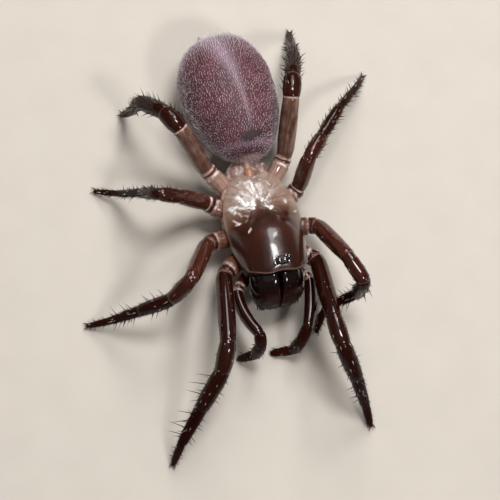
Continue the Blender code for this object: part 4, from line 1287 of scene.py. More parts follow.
class Limb:
    """One leg or feeler: its middle line, its radii and its segments."""

    def __init__(self, side, pair):
        self.side, self.pair = side, pair
        self.name = side + "_" + str(pair)
        self.kinds = PALP_KINDS if pair == "palp" else LEG_KINDS
        self.joints = limb_joints(side, pair)
        self.widths = (COXA_WIDTHS[pair], TROCHANTER_WIDTHS[pair], *WIDTHS[pair])
        self.lengths = [(b - a).length for a, b in zip(self.joints, self.joints[1:])]
        self.ends = [sum(self.lengths[:i]) for i in range(len(self.joints))]
        self.total = self.ends[-1]
        self.level_side = Z_AXIS.cross(self.joints[3] - self.joints[2]).normalized()
        self.bow = self.level_side * (PALP_BOWS.get((side, pair), 0.0) * SIDES[side])

    def segment(self, s):
        """Which segment a distance falls in, and the share of it."""
        for i, length in enumerate(self.lengths):
            if s <= self.ends[i + 1] or i == len(self.lengths) - 1:
                return i, (s - self.ends[i]) / length

    def straight(self, s):
        """A point on the middle line before it is rounded off."""
        i, share = self.segment(s)
        point = self.joints[i].lerp(self.joints[i + 1], share)
        if self.kinds[i] == "femur":
            point = point + self.bow * (4.0 * share * (1.0 - share))
        return point

    def middle(self, s):
        """A point on the rounded middle line, with its direction."""
        reach = ROUNDING[self.pair]
        steps = range(-ROUNDING_STEPS, ROUNDING_STEPS + 1)
        samples = [self.straight(s + reach * k / ROUNDING_STEPS) for k in steps]
        point = sum(samples, Vector()) / len(samples)
        return point, (samples[-1] - samples[0]).normalized()

    def plain_radius(self, s):
        """Radius by the segments' profiles alone."""
        i, share = self.segment(s)
        return self.widths[i] / 2.0 * curve_at(PROFILES[self.kinds[i]], share)

    def radius(self, s):
        """Radius with soft steps between segments, and the groove at each joint."""
        reach = min(STEP_ROUNDING, self.total - s)
        steps = range(-SOFT_STEPS, SOFT_STEPS + 1)
        size = sum(self.plain_radius(max(0.0, s + reach * k / SOFT_STEPS)) for k in steps) / len(steps)
        for end, before in zip(self.ends[1:-1], self.kinds):
            strength = GROOVE_STRENGTH[before]
            size *= 1.0 - strength * bell(s - end, GROOVE_WIDTHS[0])
            size *= 1.0 + JOINT_RIM_SHARE * strength * bell(s - end + JOINT_RIM_BACK, GROOVE_WIDTHS[1])
        return size * SKIN_SHARE

    def look(self, s):
        """How pale, how soft and how bristly the limb is at a distance; the soft skin also carries a painted
        highlight.
        """
        i = self.segment(s)[0]
        kind = self.kinds[i]
        tone = PAIR_TONES[kind][self.pair] if kind in PAIR_TONES else KIND_TONES[kind]
        if kind == "patella" and self.pair != 4:
            tone = 0.5 * (PAIR_TONES["femur"][self.pair] + tone)
        soft = 0.0
        for end, before in zip(self.ends[1:-1], self.kinds):
            width = HIP_SKIN_WIDTH[self.pair] if before in ("coxa", "trochanter") else KNEE_SKIN_WIDTH
            strength = JOINT_SKIN_AND_GLINT[before] * PAIR_SKIN_AND_GLINT[self.pair]
            if before == "femur" and self.pair == 4:
                strength = KNEE_SKIN_AND_GLINT
            soft = max(soft, strength * bell(s - end, width))
        bristle = KIND_BRISTLES[kind]
        if self.pair == "palp" and i > 2:
            bristle = PALP_BRISTLES
        elif self.pair == 4 and kind == "patella":
            bristle = REAR_PATELLA_BRISTLES
        return tone, soft, bristle

    def frames(self):
        """Distance, centre, direction, side and radius of every ring."""
        places = {round(LIMB_STEP * k, 4) for k in range(int(self.total / LIMB_STEP) + 1)}
        for end in self.ends[1:-1]:
            places |= {round(end + step, 4) for step in JOINT_STEPS}
        places |= {round(self.total - back, 4) for back in FOOT_STEPS}
        places = sorted(s for s in places if 0.0 <= s <= self.total)
        side = self.level_side
        rows = []
        for s in places:
            centre, along = self.middle(s)
            side = (side - along * side.dot(along)).normalized()
            rows.append((s, centre, along, side, self.radius(s)))
        return rows

    def nodes(self):
        """The CAD nodes that the limb's skin stands for."""
        if self.pair == "palp":
            return ["palp_" + self.side + "_" + end for end in NODE_ENDS["palp"]]
        return ["leg_" + self.name + "_" + end for end in NODE_ENDS["leg"]]


limbs = [Limb(side, pair) for side in SIDES for pair in HIPS]
print("limbs in mm:", {limb.name: round(limb.total, 2) for limb in limbs})


# %% limb skins
def build_limb(limb, mat):
    """The skin of one limb, flat where it would dip into the ground."""
    bm = bmesh.new()
    place = bm.verts.layers.float_vector.new("limb")
    along_layer = bm.verts.layers.float_vector.new("along")
    look = bm.verts.layers.float_vector.new("look")
    rows = limb.frames()
    rings = []
    for s, centre, along, side, radius in rows:
        points = ring_points(centre, side, along.cross(side), (radius, radius), LIMB_SIDES)
        for point in points:
            point.z = max(point.z, 0.0)
        rings.append(points)
    for (s, centre, along, side, radius), verts in zip(rows, sweep(bm, rings)):
        traits = limb.look(s)
        for k, vert in enumerate(verts):
            turn = math.tau * k / LIMB_SIDES
            vert[place] = (radius * math.cos(turn), radius * math.sin(turn), s)
            vert[along_layer] = along
            vert[look] = traits
    return place_piece("limb_" + limb.name, bm, mat, GROUND, limb.nodes())


# %% [markdown]
# ## Material of the limbs
#
# Legs are dark red-brown chitin with a wax gloss. The thin walls of the rear
# legs let more light through, so they are greyer and paler, with streaks along
# the muscles inside. At the joints the soft skin is pale and glossy, and its
# near-white patches are painted highlights, strongest on the rear legs. The outer
# segments are rough with the sockets of bristles and have hardly any wax.

# %% limb material
def limb_material():
    mat, tree, shader, in_mm = surface("leg_chitin", coat_roughness=0.07, ior=1.45, specular_ior_level=0.05)
    place, look = (
        add(tree, "Attribute", {}, attribute_name=field).outputs["Vector"] for field in ("limb", "look")
    )
    tone, soft, bristle = add(tree, "SeparateXYZ", {0: look}).outputs
    stretched = add(tree, "VectorMath", {0: place, 1: (6.0, 6.0, 0.7)}, operation="MULTIPLY").outputs[0]
    streaks, clouds = (
        add(tree, "TexNoise", {"Vector": where, "Scale": scale, "Detail": fine, "Roughness": 0.6}).outputs[0]
        for where, scale, fine in ((stretched, 1.2, 5.0), (in_mm, 2.4, 6.0))
    )
    wander = add(tree, "Math", {0: streaks, 1: 0.5, 2: -0.25}, operation="MULTIPLY_ADD").outputs[0]
    strong = add(tree, "Math", {0: tone, 1: 0.8, 2: 0.25}, operation="MULTIPLY_ADD").outputs[0]
    wander = add(tree, "Math", {0: wander, 1: strong}, operation="MULTIPLY").outputs[0]
    cloud = add(tree, "Math", {0: clouds, 1: 0.24, 2: -0.12}, operation="MULTIPLY_ADD").outputs[0]
    level = add(tree, "Math", {0: tone, 1: wander}, operation="ADD").outputs[0]
    level = add(tree, "Math", {0: level, 1: cloud}, operation="ADD").outputs[0]
    shell = add(
        tree,
        "ValToRGB",
        {0: level},
        stops=((0.0, "#160503"), (0.2, "#2c0d06"), (0.45, "#462015"), (0.75, "#613f31"), (1.0, "#a8897c")),
    ).outputs[0]
    folds = add(tree, "TexNoise", {"Vector": place, "Scale": 4.0, "Detail": 3.0, "Roughness": 0.5}).outputs[0]
    # Soft skin at the joints: pink, its near-white part a painted highlight.
    skin = add(
        tree, "ValToRGB", {0: folds}, stops=((0.26, "#6c4339"), (0.48, "#a98579"), (0.66, "#ecdfda"))
    ).outputs[0]
    torn = add(tree, "Math", {0: clouds, 1: 0.9, 2: -0.45}, operation="MULTIPLY_ADD").outputs[0]
    skin_and_glint = add(tree, "Math", {0: soft, 1: torn}, operation="ADD").outputs[0]
    torn_edge = {"Value": skin_and_glint, "From Min": 0.25, "From Max": 0.95}
    membrane = add(tree, "MapRange", torn_edge, **SOFT).outputs[0]
    colour = add(tree, "Mix", {0: membrane, 6: shell, 7: skin}, data_type="RGBA").outputs[2]
    rough, wax = (
        add(tree, "MapRange", {"Value": bristle, **dict(zip(RANGE_ENDS, values))}).outputs[0]
        for values in ((0.0, 0.8, 0.17, 0.24), (0.35, 0.9, 0.85, 0.04))
    )
    sockets = add(tree, "TexVoronoi", {"Vector": in_mm, "Scale": 11.0}, feature="F1").outputs["Distance"]
    sockets = add(tree, "MapRange", {"Value": sockets, "From Min": 0.1, "From Max": 0.4}).outputs[0]
    sockets = add(tree, "Math", {0: sockets, 1: bristle}, operation="MULTIPLY").outputs[0]
    height = add(tree, "Math", {0: sockets, 1: 0.6, 2: clouds}, operation="MULTIPLY_ADD").outputs[0]
    dress(tree, shader, colour, height, 0.3, 0.02, roughness=rough, coat_weight=wax)
    return mat


limb_skin = limb_material()
limb_pieces = [build_limb(limb, limb_skin) for limb in limbs]


# %% [markdown]
# ## How the hairs are made
#
# A spider's hairs are stiff tapered bristles, each with its own socket. Each
# one is made as a thin closed spike with three sides, and all those of a piece
# are joined in one mesh from arrays, because thousands of single objects would
# be far slower. Roots are scattered over a skin by area and by a density that
# each coat gives. Each spike carries a small patch of UV at its root's place on
# the skin's own unwrap, so that colours can be kept for it.

# %% hair helpers
STRAND_SIDES = 3
PATCH_RADIUS = 0.0015
ROOT_SINK = 0.02
STRAND_TAPER = 0.8
# A direction that no hair points in, from which the sides of each spike are turned.
SPARE_WAY = (0.31, 0.83, 0.47)


def unit(rows):
    """Rows of vectors scaled to length 1."""
    return rows / np.maximum(np.linalg.norm(rows, axis=1, keepdims=True), 1e-9)


def turn_share(up, across):
    """Which share of a full turn a place lies at."""
    return np.arctan2(up, across) / math.tau % 1.0


def scatter(obj, names, count, density, luck):
    """Random places on a skin in millimetres, with roots, normals and attributes."""
    mesh = obj.data
    mesh.calc_loop_triangles()
    corners = np.empty(len(mesh.loop_triangles) * 3, np.int32)
    mesh.loop_triangles.foreach_get("vertices", corners)
    fields = {}
    for name in ("co", "normal", *names):
        flat = np.empty(len(mesh.vertices) * 3, np.float32)
        if name in names:
            mesh.attributes[name].data.foreach_get("vector", flat)
        else:
            mesh.vertices.foreach_get(name, flat)
        fields[name] = flat.reshape(-1, 3).astype(float)
    fields["co"] /= MM
    # Points and triangles are put in an order of their own, because a mesh keeps none between runs.
    order = np.lexsort(np.round(fields["co"], 5).T)
    rank = np.empty_like(order)
    rank[order] = np.arange(len(order))
    corners = np.sort(rank[corners.reshape(-1, 3)], axis=1)
    corners = order[corners[np.lexsort(corners.T)]]
    a, b, c = (fields["co"][corners[:, i]] for i in range(3))
    area = np.linalg.norm(np.cross(b - a, c - a), axis=1)
    weight = area * np.maximum(density(fields), 0.0)[corners].mean(axis=1)
    picked = luck.choice(len(corners), count, p=weight / weight.sum())
    one, two = np.sqrt(luck.random(count)), luck.random(count)
    shares = np.stack((1.0 - one, one * (1.0 - two), one * two), axis=1)[:, :, None]
    rows = {name: (values[corners[picked]] * shares).sum(axis=1) for name, values in fields.items()}
    rows["normal"] = unit(rows["normal"])
    rows["root"] = rows["co"] - rows["normal"] * ROOT_SINK
    return rows


def spaced(rows, gap):
    """Drops every root that stands nearer than the gap to one kept before it."""
    places = rows["co"].tolist()
    tree = kdtree.KDTree(len(places))
    for i, place in enumerate(places):
        tree.insert(place, i)
    tree.balance()
    free = np.ones(len(places), bool)
    kept = []
    for i, place in enumerate(places):
        if free[i]:
            kept.append(i)
            free[[near[1] for near in tree.find_range(place, gap)]] = False
    return {name: values[kept] for name, values in rows.items()}


# %% hair strands
def strands(name, rows, mat, steps=(0.0, 0.45), fields=()):
    """Joins thin tapered spikes in one mesh; rows hold one entry a spike."""
    root, way, tip_way = rows["root"], unit(rows["way"]), unit(rows["tip_way"])
    length, radius = rows["length"][:, None], rows["radius"][:, None]
    count = len(root)
    side = unit(np.cross(way, np.tile(SPARE_WAY, (count, 1))))
    up = np.cross(way, side)
    points = []
    patches = []
    shares = []
    for step in steps:
        middle = root + length * (way * step + (tip_way - way) * (step * step / 2.0))
        for k in range(STRAND_SIDES):
            turn = math.tau * k / STRAND_SIDES
            spoke = side * math.cos(turn) + up * math.sin(turn)
            points.append(middle + spoke * (radius * (1.0 - step) ** STRAND_TAPER))
            around = np.array((math.cos(turn), math.sin(turn))) * PATCH_RADIUS * (1.0 - step)
            patches.append(rows["unwrap"] + around)
            shares.append(step)
    points.append(root + length * (way + tip_way) / 2.0)
    patches.append(rows["unwrap"])
    shares.append(1.0)
    each = len(points)
    points = np.stack(points, axis=1)
    patches = np.stack(patches, axis=1)
    pattern = [[2, 1, 0]]
    for ring in range(len(steps) - 1):
        low, high = ring * STRAND_SIDES, (ring + 1) * STRAND_SIDES
        for k in range(STRAND_SIDES):
            after = (k + 1) % STRAND_SIDES
            pattern.append([low + k, low + after, high + after])
            pattern.append([low + k, high + after, high + k])
    last = (len(steps) - 1) * STRAND_SIDES
    for k in range(STRAND_SIDES):
        pattern.append([last + k, last + (k + 1) % STRAND_SIDES, each - 1])
    faces = np.array(pattern)[None, :, :] + (np.arange(count) * each)[:, None, None]
    mesh = bpy.data.meshes.new(name)
    mesh.from_pydata((points.reshape(-1, 3) * MM).tolist(), [], faces.reshape(-1, 3).tolist())
    corner = faces.reshape(-1)
    layer = mesh.uv_layers.new(name="OFBake")
    layer.data.foreach_set("uv", patches.reshape(-1, 2)[corner].ravel())
    strand = np.empty((count, each, 3))
    strand[:, :, 0] = rows["chance"][:, None]
    strand[:, :, 1] = np.array(shares)[None, :]
    strand[:, :, 2] = rows["pale"][:, None]
    values = {"strand": strand}
    for field in fields:
        values[field] = np.repeat(rows[field][:, None, :], each, axis=1)
    for field, data in values.items():
        attribute = mesh.attributes.new(field, "FLOAT_VECTOR", "POINT")
        attribute.data.foreach_set("vector", data.reshape(-1))
    mesh.materials.append(mat)
    mesh.shade_smooth()
    obj = put_in_scene(name, mesh)
    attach(obj, "root")
    print(name, "hairs", count, "triangles", len(mesh.polygons))
    return obj


def hair_material(name, stops, roughness):
    """Bristle: dark to pale by each strand's own value, paler at the tip."""
    mat, tree, shader, in_mm = surface(name, specular_ior_level=0.12)
    strand = add(tree, "Attribute", {}, attribute_name="strand").outputs["Vector"]
    chance, share, pale = add(tree, "SeparateXYZ", {0: strand}).outputs
    grain = add(tree, "TexNoise", {"Vector": in_mm, "Scale": 8.0, "Detail": 3.0}).outputs[0]
    level = pale
    for value, weight in ((chance, 0.2), (share, 0.15), (grain, 0.2)):
        level = add(tree, "Math", {0: value, 1: weight, 2: level}, operation="MULTIPLY_ADD").outputs[0]
    tone = add(tree, "ValToRGB", {0: level}, stops=stops).outputs[0]
    ends = {"To Min": roughness - 0.08, "To Max": roughness + 0.08}
    rough = add(tree, "MapRange", {"Value": grain, **ends}).outputs[0]
    dress(tree, shader, tone, roughness=rough)
    return mat


# %% [markdown]
# ## Coat of the abdomen
#
# Short pale hairs lie backwards over the purple skin and give it its velvet
# look. They stand up a little more on the flanks, are longest and steepest
# round the rear, and the bare plate has none. Along the stripe and on the band
# they are paler. Two layers are laid, dark fine hairs and pale stouter ones, and
# roots that come too near to each other are dropped, so the coat is even.

# %% coat of the abdomen
DOWN_TRIES = 70000
LONG_HAIR_SHARE = 0.07
LONG_HAIR_GROWTH = 1.3
# Gap between roots, length, radius and paleness of the fine and the pale hairs.
DOWN_LAYERS = {"fine": (0.07, 0.1, 0.01, 0.05), "pale": (0.088, 0.12, 0.017, 0.42)}
DOWN_LIFT = 0.48
FLANK_LIFT = 0.1
REAR_LIFT = 0.3
REAR_FROM = 0.72
FLANK_FROM = 0.45
THIN_FRONT = 0.1
luck = np.random.default_rng(7)


def build_down(name, skin, mat):
    gap, length, radius, pale = DOWN_LAYERS[name]

    def density(fields):
        marks, egg = fields["marks"], fields["egg"]
        front = np.clip(egg[:, 1] / THIN_FRONT, 0.25, 1.0)
        return front * (1.0 - marks[:, 1])

    rows = scatter(skin, ("egg", "marks"), DOWN_TRIES, density, luck)
    rows = spaced(rows, gap)
    normal, egg, marks = rows["normal"], rows["egg"], rows["marks"]
    count = len(normal)
    lie = np.array(REARWARD)
    lie = lie - normal * (normal @ lie)[:, None]
    lie += luck.normal(0.0, 0.1, (count, 3))
    rear = np.clip((egg[:, 1] - REAR_FROM) / (1.0 - REAR_FROM), 0.0, 1.0)
    flank = np.clip((FLANK_FROM - egg[:, 2]) / 0.6, 0.0, 1.0)
    lift = DOWN_LIFT + FLANK_LIFT * flank + REAR_LIFT * rear + luck.normal(0.0, 0.06, count)
    rows["way"] = lie + normal * lift[:, None]
    rows["tip_way"] = lie * 1.2 + normal * (0.55 * lift)[:, None]
    rows["length"] = length * (1.0 + 0.8 * rear + 0.25 * flank) * luck.uniform(0.75, 1.25, count)
    longer = luck.random(count) < LONG_HAIR_SHARE * (0.1 + rear + flank)
    rows["length"] *= 1.0 + LONG_HAIR_GROWTH * longer
    rows["radius"] = radius * luck.uniform(0.85, 1.15, count)
    rows["unwrap"] = np.stack((turn_share(egg[:, 2], egg[:, 0]), egg[:, 1]), axis=1)
    rows["chance"] = luck.random(count)
    right_side = np.clip(-egg[:, 0], 0.0, 1.0)
    rows["pale"] = 0.15 + pale + 0.4 * marks[:, 0] + 0.25 * marks[:, 2] + 0.3 * flank * (0.4 + right_side)
    strands("abdomen_down_" + name, rows, mat, steps=(0.0,), fields=("egg", "marks"))


down_material = hair_material(
    "abdomen_down_hair",
    ((0.15, "#5c3646"), (0.35, "#917080"), (0.65, "#c9b4bf"), (0.9, "#f4e9ef")),
    0.4,
)
for layer_name in DOWN_LAYERS:
    build_down(layer_name, abdomen_piece, down_material)


# %% [markdown]
# ## Bristles of legs and feelers
# Bristles are few and short on the thighs and dense on the outer segments, where
# they feel the ground. Legs and feelers also carry stout spines in rows. The
# rows are those of the solids, with a finer spine added after each stout one,
# and a few bristles are made thick and painted pale, as painted glints of light.

# %% bristles
BRISTLE_COUNT = {1: 900, 2: 900, 3: 800, 4: 420, "palp": 420}
BRISTLE_LIFT = {1: 0.6, 2: 0.6, 3: 0.55, 4: 0.4, "palp": 0.4}
BRISTLE_LENGTH = {
    "coxa": 0.14,
    "trochanter": 0.14,
    "femur": 0.15,
    "patella": 0.18,
    "tibia": 0.22,
    "metatarsus": 0.22,
    "tarsus": 0.2,
}
PALP_BRISTLE_SHARE = 0.6
BRISTLE_RADIUS = 0.0095
BRISTLE_STRAY = 0.14
BRISTLE_PALE = {1: 0.06, 2: 0.08, 3: 0.12, 4: 0.06, "palp": 0.06}
GLINT_SHARE = 0.09


def limb_unwrap(limb, strip, place):
    """Where places on a limb lie on the unwrap that all limbs share."""
    around = turn_share(place[:, 1], place[:, 0])
    return np.stack(((strip + around) / len(limbs), place[:, 2] / limb.total), axis=1)


def build_bristles(limb, strip, skin, mat):
    fields = ("limb", "along", "look")
    rows = scatter(skin, fields, BRISTLE_COUNT[limb.pair], lambda found: found["look"][:, 2], luck)
    normal, along, place = rows["normal"], unit(rows["along"]), rows["limb"]
    count = len(normal)
    kinds = [limb.kinds[limb.segment(s)[0]] for s in place[:, 2]]
    length = np.array([BRISTLE_LENGTH[kind] for kind in kinds])
    lift = np.clip(luck.normal(BRISTLE_LIFT[limb.pair], 0.18, count), 0.1, 1.3)[:, None]
    stray = luck.normal(0.0, BRISTLE_STRAY, (count, 3))
    rows["way"] = along + normal * lift + stray
    rows["tip_way"] = along * 1.3 + normal * (0.6 * lift) + stray
    share = PALP_BRISTLE_SHARE if limb.pair == "palp" else 1.0
    rows["length"] = length * luck.uniform(0.6, 1.35, count) * share
    rows["radius"] = BRISTLE_RADIUS * luck.uniform(0.75, 1.25, count)
    rows["unwrap"] = limb_unwrap(limb, strip, place)
    rows["chance"] = luck.random(count)
    # Painted glints: a few bristles are painted pale and made thicker.
    glint = luck.random(count) < GLINT_SHARE
    rows["pale"] = BRISTLE_PALE[limb.pair] * luck.uniform(0.0, 2.0, count) + 0.8 * glint
    rows["radius"] *= 1.0 + 0.5 * glint
    above_ground = rows["root"][:, 2] + rows["length"] * unit(rows["tip_way"])[:, 2] > 0.01
    rows = {name: values[above_ground] for name, values in rows.items()}
    strands("bristles_" + limb.name, rows, mat)


# %% spines
# For each segment, rows of spines: angle from the top, number and length.
SPINE_ROWS = {
    1: {
        "tibia": ((80, 3, 0.8), (245, 3, 0.36), (165, 2, 0.46)),
        "metatarsus": ((85, 4, 0.74), (250, 3, 0.4), (170, 2, 0.44)),
        "tarsus": ((100, 2, 0.26), (255, 2, 0.24)),
    },
    2: {
        "tibia": ((75, 3, 0.48), (265, 3, 0.4), (170, 2, 0.4)),
        "metatarsus": ((80, 3, 0.48), (270, 4, 0.42), (200, 2, 0.4)),
        "tarsus": ((95, 2, 0.26), (265, 2, 0.26)),
    },
    3: {
        "patella": ((70, 3, 0.28), (290, 3, 0.28)),
        "tibia": ((75, 5, 0.32), (285, 5, 0.32), (20, 3, 0.26)),
        "metatarsus": ((80, 5, 0.36), (280, 5, 0.36), (180, 2, 0.42)),
        "tarsus": ((90, 2, 0.22), (270, 2, 0.22)),
    },
    4: {
        "patella": ((-35, 3, 0.4), (15, 3, 0.44), (65, 3, 0.4)),
        "tibia": ((-50, 4, 0.44), (0, 4, 0.5), (50, 4, 0.5), (100, 3, 0.4), (-100, 3, 0.4)),
        "metatarsus": ((-60, 4, 0.36), (20, 4, 0.4), (90, 4, 0.4), (180, 2, 0.36)),
        "tarsus": ((60, 2, 0.24), (-70, 2, 0.24)),
    },
    "palp": {
        "tibia": ((80, 2, 0.26), (270, 2, 0.26)),
        "tarsus": ((60, 2, 0.22), (-60, 2, 0.22), (180, 1, 0.2)),
    },
}
SPINE_TWIST = {("left", 1): 70.0}
SPINE_LEAN = {1: 16.0, 2: 32.0, 3: 42.0, 4: 50.0, "palp": 45.0}
SPINE_RADIUS = 0.026
SPINE_START = 0.14
SPINE_SPAN = 0.76
SPINE_SINK = 0.03


def build_spines(limb, strip, mat):
    """Rows of stout spines, with a finer one after each."""
    found = []
    for i, kind in enumerate(limb.kinds):
        along = (limb.joints[i + 1] - limb.joints[i]).normalized()
        level = (Z_AXIS - along * Z_AXIS.dot(along)).normalized()
        rear = level.cross(along) * SIDES[limb.side]
        twist = SPINE_TWIST.get((limb.side, limb.pair), 0.0)
        for angle, number, reach in SPINE_ROWS[limb.pair].get(kind, ()):
            for k in range(2 * number):
                fine = k % 2 == 1
                stout = luck.uniform(0.4, 0.8) if fine else 1.0
                share = SPINE_START + SPINE_SPAN * (k + 0.5 + luck.uniform(-0.3, 0.3)) / (2 * number)
                around = math.radians(angle + twist + luck.normal(0.0, 22.0 if fine else 9.0))
                lean = math.radians(SPINE_LEAN[limb.pair] + luck.normal(0.0, 7.0))
                outward = level * math.cos(around) + rear * math.sin(around)
                way = outward * math.cos(lean) + along * math.sin(lean)
                s = limb.ends[i] + limb.lengths[i] * share
                centre = limb.middle(s)[0]
                root = centre + outward * (limb.radius(s) - SPINE_SINK)
                length = reach * stout * luck.uniform(0.9, 1.15) + SPINE_SINK
                if (root + way * length).z > 0.03:
                    bend = (way * 1.2 + along * luck.uniform(0.1, 0.4)).normalized()
                    radius = SPINE_RADIUS * (0.6 + 0.4 * stout)
                    turn = (around / math.tau) % 1.0
                    spot = ((strip + turn) / len(limbs), s / limb.total)
                    found.append((root - STAND_POINT, way, bend, length, radius, spot))
    columns = ("root", "way", "tip_way", "length", "radius", "unwrap")
    rows = {name: np.array(column) for name, column in zip(columns, zip(*found))}
    rows["chance"] = luck.random(len(found))
    rows["pale"] = np.zeros(len(found))
    strands("spines_" + limb.name, rows, mat, steps=(0.0, 0.3, 0.65))


# %% claws
CLAW_SINK = 0.12
CLAW_SPACING = 0.045
CLAW_SPREAD = 0.45
CLAW_REACH = 0.27
CLAW_RADIUS = 0.036
CLAW_TIP = 0.005
CLAW_ARCH = ((0.0, 0.0), (0.5, 0.055), (0.75, 0.03), (1.0, -0.045))
CLAW_RINGS = 8
CLAW_SIDES = 10


def build_claws(mat):
    """Two short hooks at the end of each foot."""
    bm = bmesh.new()
    for limb in limbs:
        if limb.pair == "palp":
            continue
        foot = limb.joints[-1]
        along = (foot - limb.joints[-2]).normalized()
        level = Vector((along.x, along.y, 0.0)).normalized()
        across = Vector((-level.y, level.x, 0.0))
        for sign in SIDES.values():
            out = (level + across * (CLAW_SPREAD * sign)).normalized()
            side = Vector((-out.y, out.x, 0.0))
            root = foot - along * CLAW_SINK + across * (CLAW_SPACING * sign)
            rings = []
            for k in range(CLAW_RINGS + 1):
                share = k / CLAW_RINGS
                middle = root + out * (CLAW_REACH * share) + Z_AXIS * curve_at(CLAW_ARCH, share)
                size = CLAW_RADIUS * (1.0 - share) ** 0.6 + CLAW_TIP
                rings.append(ring_points(middle, side, Z_AXIS, (size, size), CLAW_SIDES))
            sweep(bm, rings)
    place_piece("claws", bm, mat, GROUND, [])


# %% coats of the limbs
bristle_material = hair_material(
    "leg_bristle",
    ((0.2, "#0c0403"), (0.45, "#24100a"), (0.75, "#876757"), (1.0, "#dacbc2")),
    0.2,
)
for strip, (limb, piece) in enumerate(zip(limbs, limb_pieces)):
    build_bristles(limb, strip, piece, bristle_material)
    build_spines(limb, strip, bristle_material)
build_claws(hook_skin)


# %% [markdown]
# ## Short hairs elsewhere
#
# The jaws have stiff bristles round their front end, which help to hold prey and
# soil. The silk fingers, the breast plate and the soft skin by the waist have
# short fine hairs.

# %% short hairs elsewhere
def build_fuzz(name, skin, field, count, density, lie, lift, size, mat, slot, pale=0.0):
    """Short hairs on a body part, leaning the way that lie points."""
    rows = scatter(skin, (field,), count, lambda fields: density(fields[field]), luck)
    normal, place = rows["normal"], rows[field]
    lie = np.array(lie)
    lie = lie - normal * (normal @ lie)[:, None] + luck.normal(0.0, 0.15, (count, 3))
    rows["way"] = lie + normal * lift
    rows["tip_way"] = 1.3 * lie + normal * (0.5 * lift)
    rows["length"] = size[0] * luck.uniform(0.6, 1.3, count)
    rows["radius"] = size[1] * luck.uniform(0.8, 1.2, count)
    around = turn_share(place[:, 2], place[:, 0])
    rows["unwrap"] = np.stack((around, np.clip(place[:, 1], 0.0, 1.0)), axis=1)
    rows["chance"] = luck.random(count)
    rows["pale"] = np.full(count, pale)
    strands(name, rows, mat)


# Where on a part its hairs stand, as a density.
def front_of_jaw(place):
    return np.clip((place[:, 1] - 0.5) / 0.3, 0.02, 1.0) * np.clip(0.75 - place[:, 2], 0.05, 1.0)


def end_of_finger(place):
    return 0.3 + place[:, 1]


def below_breast(place):
    return np.clip(-place[:, 2] - 0.6, 0.0, 1.0)


def near_waist(place):
    return np.clip((0.2 - place[:, 1]) / 0.1, 0.0, 1.0)


JAW_LIE = (0.0, -0.7, -0.5)
# Length and radius of the hairs on each part.
JAW_HAIR, FINGER_HAIR, BREAST_HAIR, WAIST_HAIR = (0.16, 0.0065), (0.13, 0.008), (0.16, 0.008), (0.09, 0.007)
dark, light = bristle_material, down_material
for side, piece in zip(SIDES, jaw_pieces):
    name = "jaw_bristles_" + side
    build_fuzz(name, piece, "jaw", 560, front_of_jaw, JAW_LIE, 0.5, JAW_HAIR, dark, "jaws")
for side, piece in zip(SIDES, spinneret_pieces):
    name, slot = "spinneret_hairs_" + side, "spinnerets"
    build_fuzz(name, piece, "finger", 420, end_of_finger, REARWARD, 0.5, FINGER_HAIR, dark, slot, 0.45)
plate = (underside_piece, "plate")
build_fuzz("breast_hairs", *plate, 900, below_breast, REARWARD, 0.6, BREAST_HAIR, dark, "membrane", 0.1)
build_fuzz("waist_hairs", *plate, 500, near_waist, REARWARD, 0.4, WAIST_HAIR, light, "membrane", 0.5)


# %% [markdown]
# ## Stage, light and camera
#
# The floor is plain and pale. Two small soft lamps stand beside the camera, as a
# macro flash would, so the glossy shell shows a pair of small highlights. Two
# more shine from high behind and draw bright lines along legs and abdomen, and a
# wide soft light overhead fills the rest.

# %% stage
FLOOR_SIZE = 1.2


def floor_material():
    """A pale matt board with faint clouds."""
    mat, tree, shader, in_mm = surface("pale_floor", roughness=0.85)
    grain = add(tree, "TexNoise", {"Vector": in_mm, "Scale": 0.5, "Detail": 4.0}).outputs[0]
    tone = add(tree, "ValToRGB", {0: grain}, stops=((0.3, "#c6beb4"), (0.7, "#cac2b8"))).outputs[0]
    dress(tree, shader, tone)
    return mat


def build_floor():
    bm = bmesh.new()
    bmesh.ops.create_grid(bm, x_segments=4, y_segments=4, size=FLOOR_SIZE / 2.0)
    mesh = bpy.data.meshes.new("floor")
    bm.to_mesh(mesh)
    bm.free()
    mesh.materials.append(floor_material())
    floor = put_in_scene("floor", mesh)


build_floor()
print("floor, metres across:", FLOOR_SIZE)


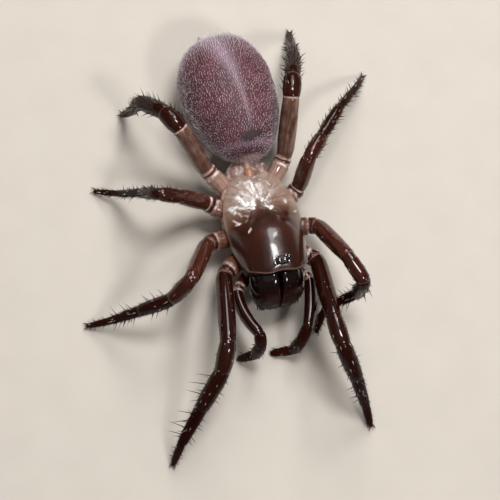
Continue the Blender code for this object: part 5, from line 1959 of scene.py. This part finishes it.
# %% light
# The columns of this matrix are the camera's right, up and back.
SIGHT = Matrix(((0.9687, 0.1931, -0.1557), (-0.2239, 0.9507, -0.2143), (0.1066, 0.2425, 0.9643)))
LIT_POINT = Vector((0.0, 0.0, 2.0))
FLASH_AWAY = 115.0
REAR_AWAY = 140.0
WORLD_GLOW = 0.14


def lamp(name, at, size, power):
    """A soft round or oval lamp, placed in millimetres and aimed at the body."""
    data = bpy.data.lights.new(name, "AREA")
    data.shape = "ELLIPSE"
    data.size, data.size_y = size[0] * MM, size[1] * MM
    data.energy = power
    obj = put_in_scene(name, data)
    obj.location = at * MM
    obj.rotation_mode = "QUATERNION"
    obj.rotation_quaternion = (LIT_POINT - at).to_track_quat("-Z", "Y")
    print(name, "size in mm", size, "power", power)


right, up, back = (SIGHT.col[i] for i in range(3))
lamp("flash_upper", (back * 0.87 + up * 0.45 + right * 0.2) * FLASH_AWAY, (40.0, 28.0), 0.078)
lamp("flash_lower", (back * 0.87 - up * 0.2 + right * 0.45) * FLASH_AWAY, (24.0, 18.0), 0.036)
lamp("flash_side", Vector((0.32, 0.6, 0.73)) * REAR_AWAY, (13.0, 34.0), 0.02)
lamp("flash_rear", Vector((0.2, 0.68, 0.7)) * REAR_AWAY, (56.0, 104.0), 0.085)
lamp("overhead", Vector((-30.0, 20.0, 220.0)), (240.0, 240.0), 0.026)
world = bpy.data.worlds.new("studio")
world.use_nodes = True
world.node_tree.nodes["Background"].inputs[0].default_value = linear("#efe6dc")
world.node_tree.nodes["Background"].inputs[1].default_value = WORLD_GLOW
bpy.context.scene.world = world
bpy.context.scene.view_settings.view_transform = "Standard"


# %% camera
CAMERA_AT = Vector((-23.70, -35.20, 143.91))
LENS = 232.2

camera_data = bpy.data.cameras.new("camera")
camera_data.lens = LENS
camera_data.clip_start = 0.001
camera = put_in_scene("camera", camera_data)
camera.matrix_world = Matrix.Translation((CAMERA_AT - STAND_POINT) * MM) @ SIGHT.to_4x4()
bpy.context.scene.camera = camera
print("camera in mm:", [round(share, 1) for share in CAMERA_AT - STAND_POINT])
